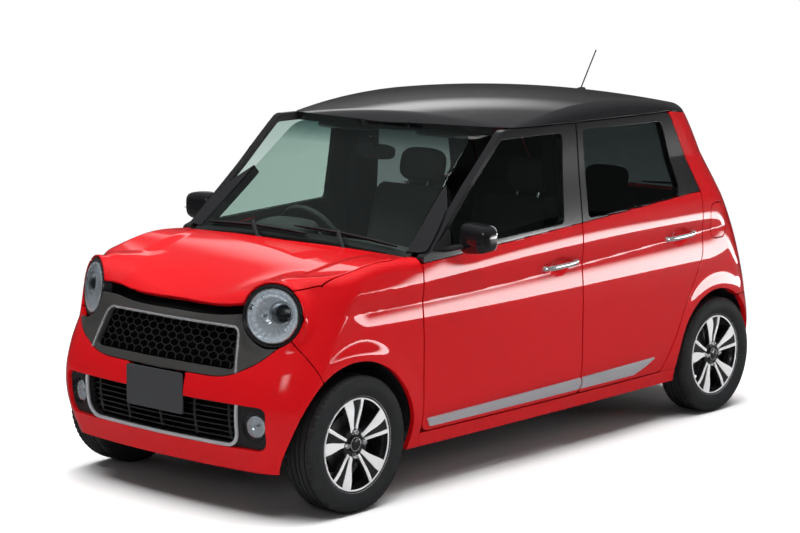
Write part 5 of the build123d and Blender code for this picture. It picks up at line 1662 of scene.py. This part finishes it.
for name, sign in SIDES:
    flip = np.array((1.0, sign, 1.0))
    put(
        lump(
            "sun_visor_" + name, np.array((185.0, 300, 1428)) * flip, (150, 380, 18), TRIM_PALE, 5.0, 12,
            None, 32, 10
        ),
        "body", "trim"
    )
    for end, x0, x1, zc in (("front", 640, 20, 700), ("rear", -330, -840, 720)):
        body = "door_" + end + "_" + name
        rest = [(x0 + (x1 - x0) * t, 634, zc + 18 * t) for t in np.linspace(0, 1, 12)]
        put(
            swept(
                "arm_rest_" + end + "_" + name, np.array(rest) * flip, 56, 38, TRIM_PALE, out=(0, 0, 1.0),
                taper=0.4
            ),
            body, "trim"
        )
        place = np.array((x0 - 120 if end == "front" else x0 - 90, 640.0, 860)) * flip
        put(
            lump("inner_handle_" + end + "_" + name, place, (110, 16, 34), CHROME, 3.0, 0, None, 24, 12),
            body, "bare_steel"
        )

# Tail: wiper, handle, lamps and reflectors


def on_tail(y, z, lift):
    return np.array((float(tail(np.array(y, float), np.array(z, float))) - lift, y, z))


arm = [on_tail(300 * t, 1012 + 8 * t, 18) for t in np.linspace(0, 1, 16)]
put(swept("rear_wiper_arm", arm, 16, 10, PLASTIC, out=(-1.0, 0, 0.4), taper=0.3), "tailgate", "black_plastic")
blade = [on_tail(60 + 320 * t, 1040 + 12 * t, 8) for t in np.linspace(0, 1, 18)]
put(
    swept("rear_wiper_blade", blade, 9, 13, PLASTIC, out=(-1.0, 0, 0.4), taper=0.4), "tailgate",
    "black_plastic"
)
put(
    spun(
        "rear_wiper_cap", [(22, -14), (22, 8), (17, 15), (1, 18)], on_tail(0, 1010, 4), (-0.9, 0, 0.42),
        PLASTIC, 32
    ),
    "tailgate", "black_plastic"
)
bar = [on_tail(y, 800, 8) for y in np.linspace(-250, 250, 30)]
put(swept("tailgate_bar", bar, 26, 16, CHROME, out=(-1.0, 0, 0.2), taper=0.5), "tailgate", "bare_steel")
for name, sign in SIDES:
    flip = np.array((1.0, sign, 1.0))
    spot = on_tail(470.0, 400.0, 3.0) * flip
    put(
        lump("rear_reflector_" + name, spot, (10, 150, 34), LAMP_RED, 5.0, 0, None, 30, 14), "body",
        "lamp_red"
    )
put(
    lump("stop_lamp", on_tail(0.0, 1412.0, 2.0), (16, 230, 20), LAMP_RED, 4.0, -56, None, 32, 12),
    "tailgate", "lamp_red"
)

# Finishes of the CAD pieces that show as they are
CARRIED = {
    "under_steel": STEEL, "bare_steel": BARE, "cast": CAST, "trim": TRIM, "black_plastic": PLASTIC,
    "lamp_body": GLOSS_PLASTIC, "body_red": RED, "gloss_black": BLACK_PAINT, "mask_grey": MASK,
    "clear_glass": CLEAR, "privacy_glass": PRIVACY, "lens_clear": LENS, "lamp_red": LAMP_RED,
    "alloy": MACHINED, "tyre": RUBBER, "seat_cloth": CLOTH,
}
for name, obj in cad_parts.items():
    kind = None
    for m in obj.data.materials:
        if m is not None:
            kind = m.name.split(".")[0]
    skin = CARRIED.get(kind, STEEL)
    obj.data.materials.clear()
    obj.data.materials.append(skin)

# Floor, light and camera
floor = bpy.data.objects.new("floor", bpy.data.meshes.new("floor"))
floor.data.from_pydata([(-60, -60, 0), (60, -60, 0), (60, 60, 0), (-60, 60, 0)], [], [(0, 1, 2, 3)])
bpy.context.collection.objects.link(floor)
pale = bpy.data.materials.new("studio_floor")
pale.use_nodes = True
tree = pale.node_tree
matte = tree.nodes["Principled BSDF"]
matte.inputs["Base Color"].default_value = (0.93, 0.93, 0.93, 1)
matte.inputs["Roughness"].default_value = 0.9
matte.inputs["Specular IOR Level"].default_value = 0.05
path = tree.nodes.new("ShaderNodeLightPath")
glow = tree.nodes.new("ShaderNodeEmission")
glow.inputs["Color"].default_value = (1, 1, 1, 1)
glow.inputs["Strength"].default_value = 1.0
where = tree.nodes.new("ShaderNodeTexCoord")
reach = tree.nodes.new("ShaderNodeVectorMath")
reach.operation = "LENGTH"
tree.links.new(where.outputs["Object"], reach.inputs[0])
fade = tree.nodes.new("ShaderNodeMapRange")
fade.inputs["From Min"].default_value = 2.4
fade.inputs["From Max"].default_value = 4.2
fade.interpolation_type = "SMOOTHSTEP"
tree.links.new(reach.outputs["Value"], fade.inputs["Value"])
seen = tree.nodes.new("ShaderNodeMath")
seen.operation = "MULTIPLY"
tree.links.new(fade.outputs["Result"], seen.inputs[0])
tree.links.new(path.outputs["Is Camera Ray"], seen.inputs[1])
mix = tree.nodes.new("ShaderNodeMixShader")
tree.links.new(seen.outputs["Value"], mix.inputs["Fac"])
tree.links.new(matte.outputs["BSDF"], mix.inputs[1])
tree.links.new(glow.outputs["Emission"], mix.inputs[2])
dim = tree.nodes.new("ShaderNodeBsdfDiffuse")
dim.inputs["Color"].default_value = (0.07, 0.07, 0.07, 1)
last = tree.nodes.new("ShaderNodeMixShader")
tree.links.new(path.outputs["Is Glossy Ray"], last.inputs["Fac"])
tree.links.new(mix.outputs["Shader"], last.inputs[1])
tree.links.new(dim.outputs["BSDF"], last.inputs[2])
tree.links.new(last.outputs["Shader"], tree.nodes["Material Output"].inputs["Surface"])
floor.data.materials.append(pale)

world = bpy.data.worlds.new("studio")
bpy.context.scene.world = world
world.use_nodes = True
tree = world.node_tree
path = tree.nodes.new("ShaderNodeLightPath")
white = tree.nodes.new("ShaderNodeBackground")
white.inputs["Color"].default_value = (1, 1, 1, 1)
white.inputs["Strength"].default_value = 1.0
where = tree.nodes.new("ShaderNodeTexCoord")
split = tree.nodes.new("ShaderNodeSeparateXYZ")
tree.links.new(where.outputs["Generated"], split.inputs["Vector"])
ramp = tree.nodes.new("ShaderNodeValToRGB")
ramp.color_ramp.elements[0].position = 0.0
ramp.color_ramp.elements[0].color = (0.05, 0.05, 0.05, 1)
ramp.color_ramp.elements[1].position = 1.0
ramp.color_ramp.elements[1].color = (0.20, 0.205, 0.21, 1)
for position, level in ((0.10, 0.05), (0.25, 0.09), (0.6, 0.12)):
    stop = ramp.color_ramp.elements.new(position)
    stop.color = (level, level, level * 1.02, 1)
tree.links.new(split.outputs["Z"], ramp.inputs["Fac"])
soft = tree.nodes["Background"]
tree.links.new(ramp.outputs["Color"], soft.inputs["Color"])
soft.inputs["Strength"].default_value = 1.0
mix = tree.nodes.new("ShaderNodeMixShader")
tree.links.new(path.outputs["Is Camera Ray"], mix.inputs["Fac"])
tree.links.new(soft.outputs["Background"], mix.inputs[1])
tree.links.new(white.outputs["Background"], mix.inputs[2])
tree.links.new(mix.outputs["Shader"], tree.nodes["World Output"].inputs["Surface"])


def softbox(name, place, aim, wide, high, power, mirrored, across=(0.0, 1.0), upward=(0.0, 1.0), flat=None):
    """Area light that fades towards its edges; one that isn't mirrored leaves the glossy panels dark."""
    light = bpy.data.lights.new(name, "AREA")
    light.shape = "RECTANGLE"
    light.size = wide
    light.size_y = high
    light.energy = power
    light.use_nodes = True
    tree = light.node_tree
    where = tree.nodes.new("ShaderNodeNewGeometry")
    split = tree.nodes.new("ShaderNodeSeparateXYZ")
    tree.links.new(where.outputs["Parametric"], split.inputs["Vector"])
    product = tree.nodes.new("ShaderNodeMath")
    product.operation = "MULTIPLY"
    for k, (axis, (first, last)) in enumerate((("X", across), ("Y", upward))):
        ramp = tree.nodes.new("ShaderNodeValToRGB")
        ramp.color_ramp.interpolation = "EASE"
        ramp.color_ramp.elements[0].color = (0, 0, 0, 1)
        ramp.color_ramp.elements[1].color = (0, 0, 0, 1)
        for position in (max(first, 0.001), min(last, 0.999)):
            stop = ramp.color_ramp.elements.new(position)
            stop.color = (1, 1, 1, 1)
        tree.links.new(split.outputs[axis], ramp.inputs["Fac"])
        tree.links.new(ramp.outputs["Color"], product.inputs[k])
    tree.links.new(product.outputs["Value"], tree.nodes["Emission"].inputs["Strength"])
    obj = bpy.data.objects.new(name, light)
    obj.location = place
    if flat is None:
        obj.rotation_euler = (Vector(aim) - Vector(place)).to_track_quat("-Z", "Y").to_euler()
    else:
        obj.rotation_euler = (math.pi, 0.0, flat)
        obj.visible_diffuse = False
    obj.visible_glossy = mirrored
    bpy.context.collection.objects.link(obj)


softbox("overhead", (0.3, 0.0, 6.0), (0.3, 0.0, 0.0), 9.0, 7.0, 1150, False)
softbox("left_wall", (-8.5, 7.2, 3.3), (-0.6, 0.6, 1.6), 12.0, 2.6, 200, False)
softbox(
    "left_floor", (-13.6, 8.9, 0.03), None, 11.0, 16.2, 5600, True, (0.2, 0.8), (0.0, 0.25),
    math.radians(-121)
)
softbox("front_left", (7.5, 5.6, 3.4), (1.0, 0.4, 0.6), 3.6, 2.2, 110, True, (0.45, 0.55), (0.45, 0.55))
softbox("right_wall", (-6.0, -6.5, 4.9), (0.0, 0.0, 0.8), 6.0, 1.6, 40, True, (0.45, 0.55), (0.45, 0.55))

YAW = math.radians(41.8732)
PITCH = math.radians(8.8001)
camera = bpy.data.objects.new("camera", bpy.data.cameras.new("camera"))
camera.location = (7.61637, 6.63967, 2.34138)
aim = Vector((-math.cos(YAW) * math.cos(PITCH), -math.sin(YAW) * math.cos(PITCH), -math.sin(PITCH)))
camera.rotation_euler = aim.to_track_quat("-Z", "Y").to_euler()
camera.data.sensor_width = 36.0
camera.data.lens = 100.665
bpy.context.collection.objects.link(camera)
bpy.context.scene.camera = camera
bpy.context.scene.view_settings.view_transform = "Standard"
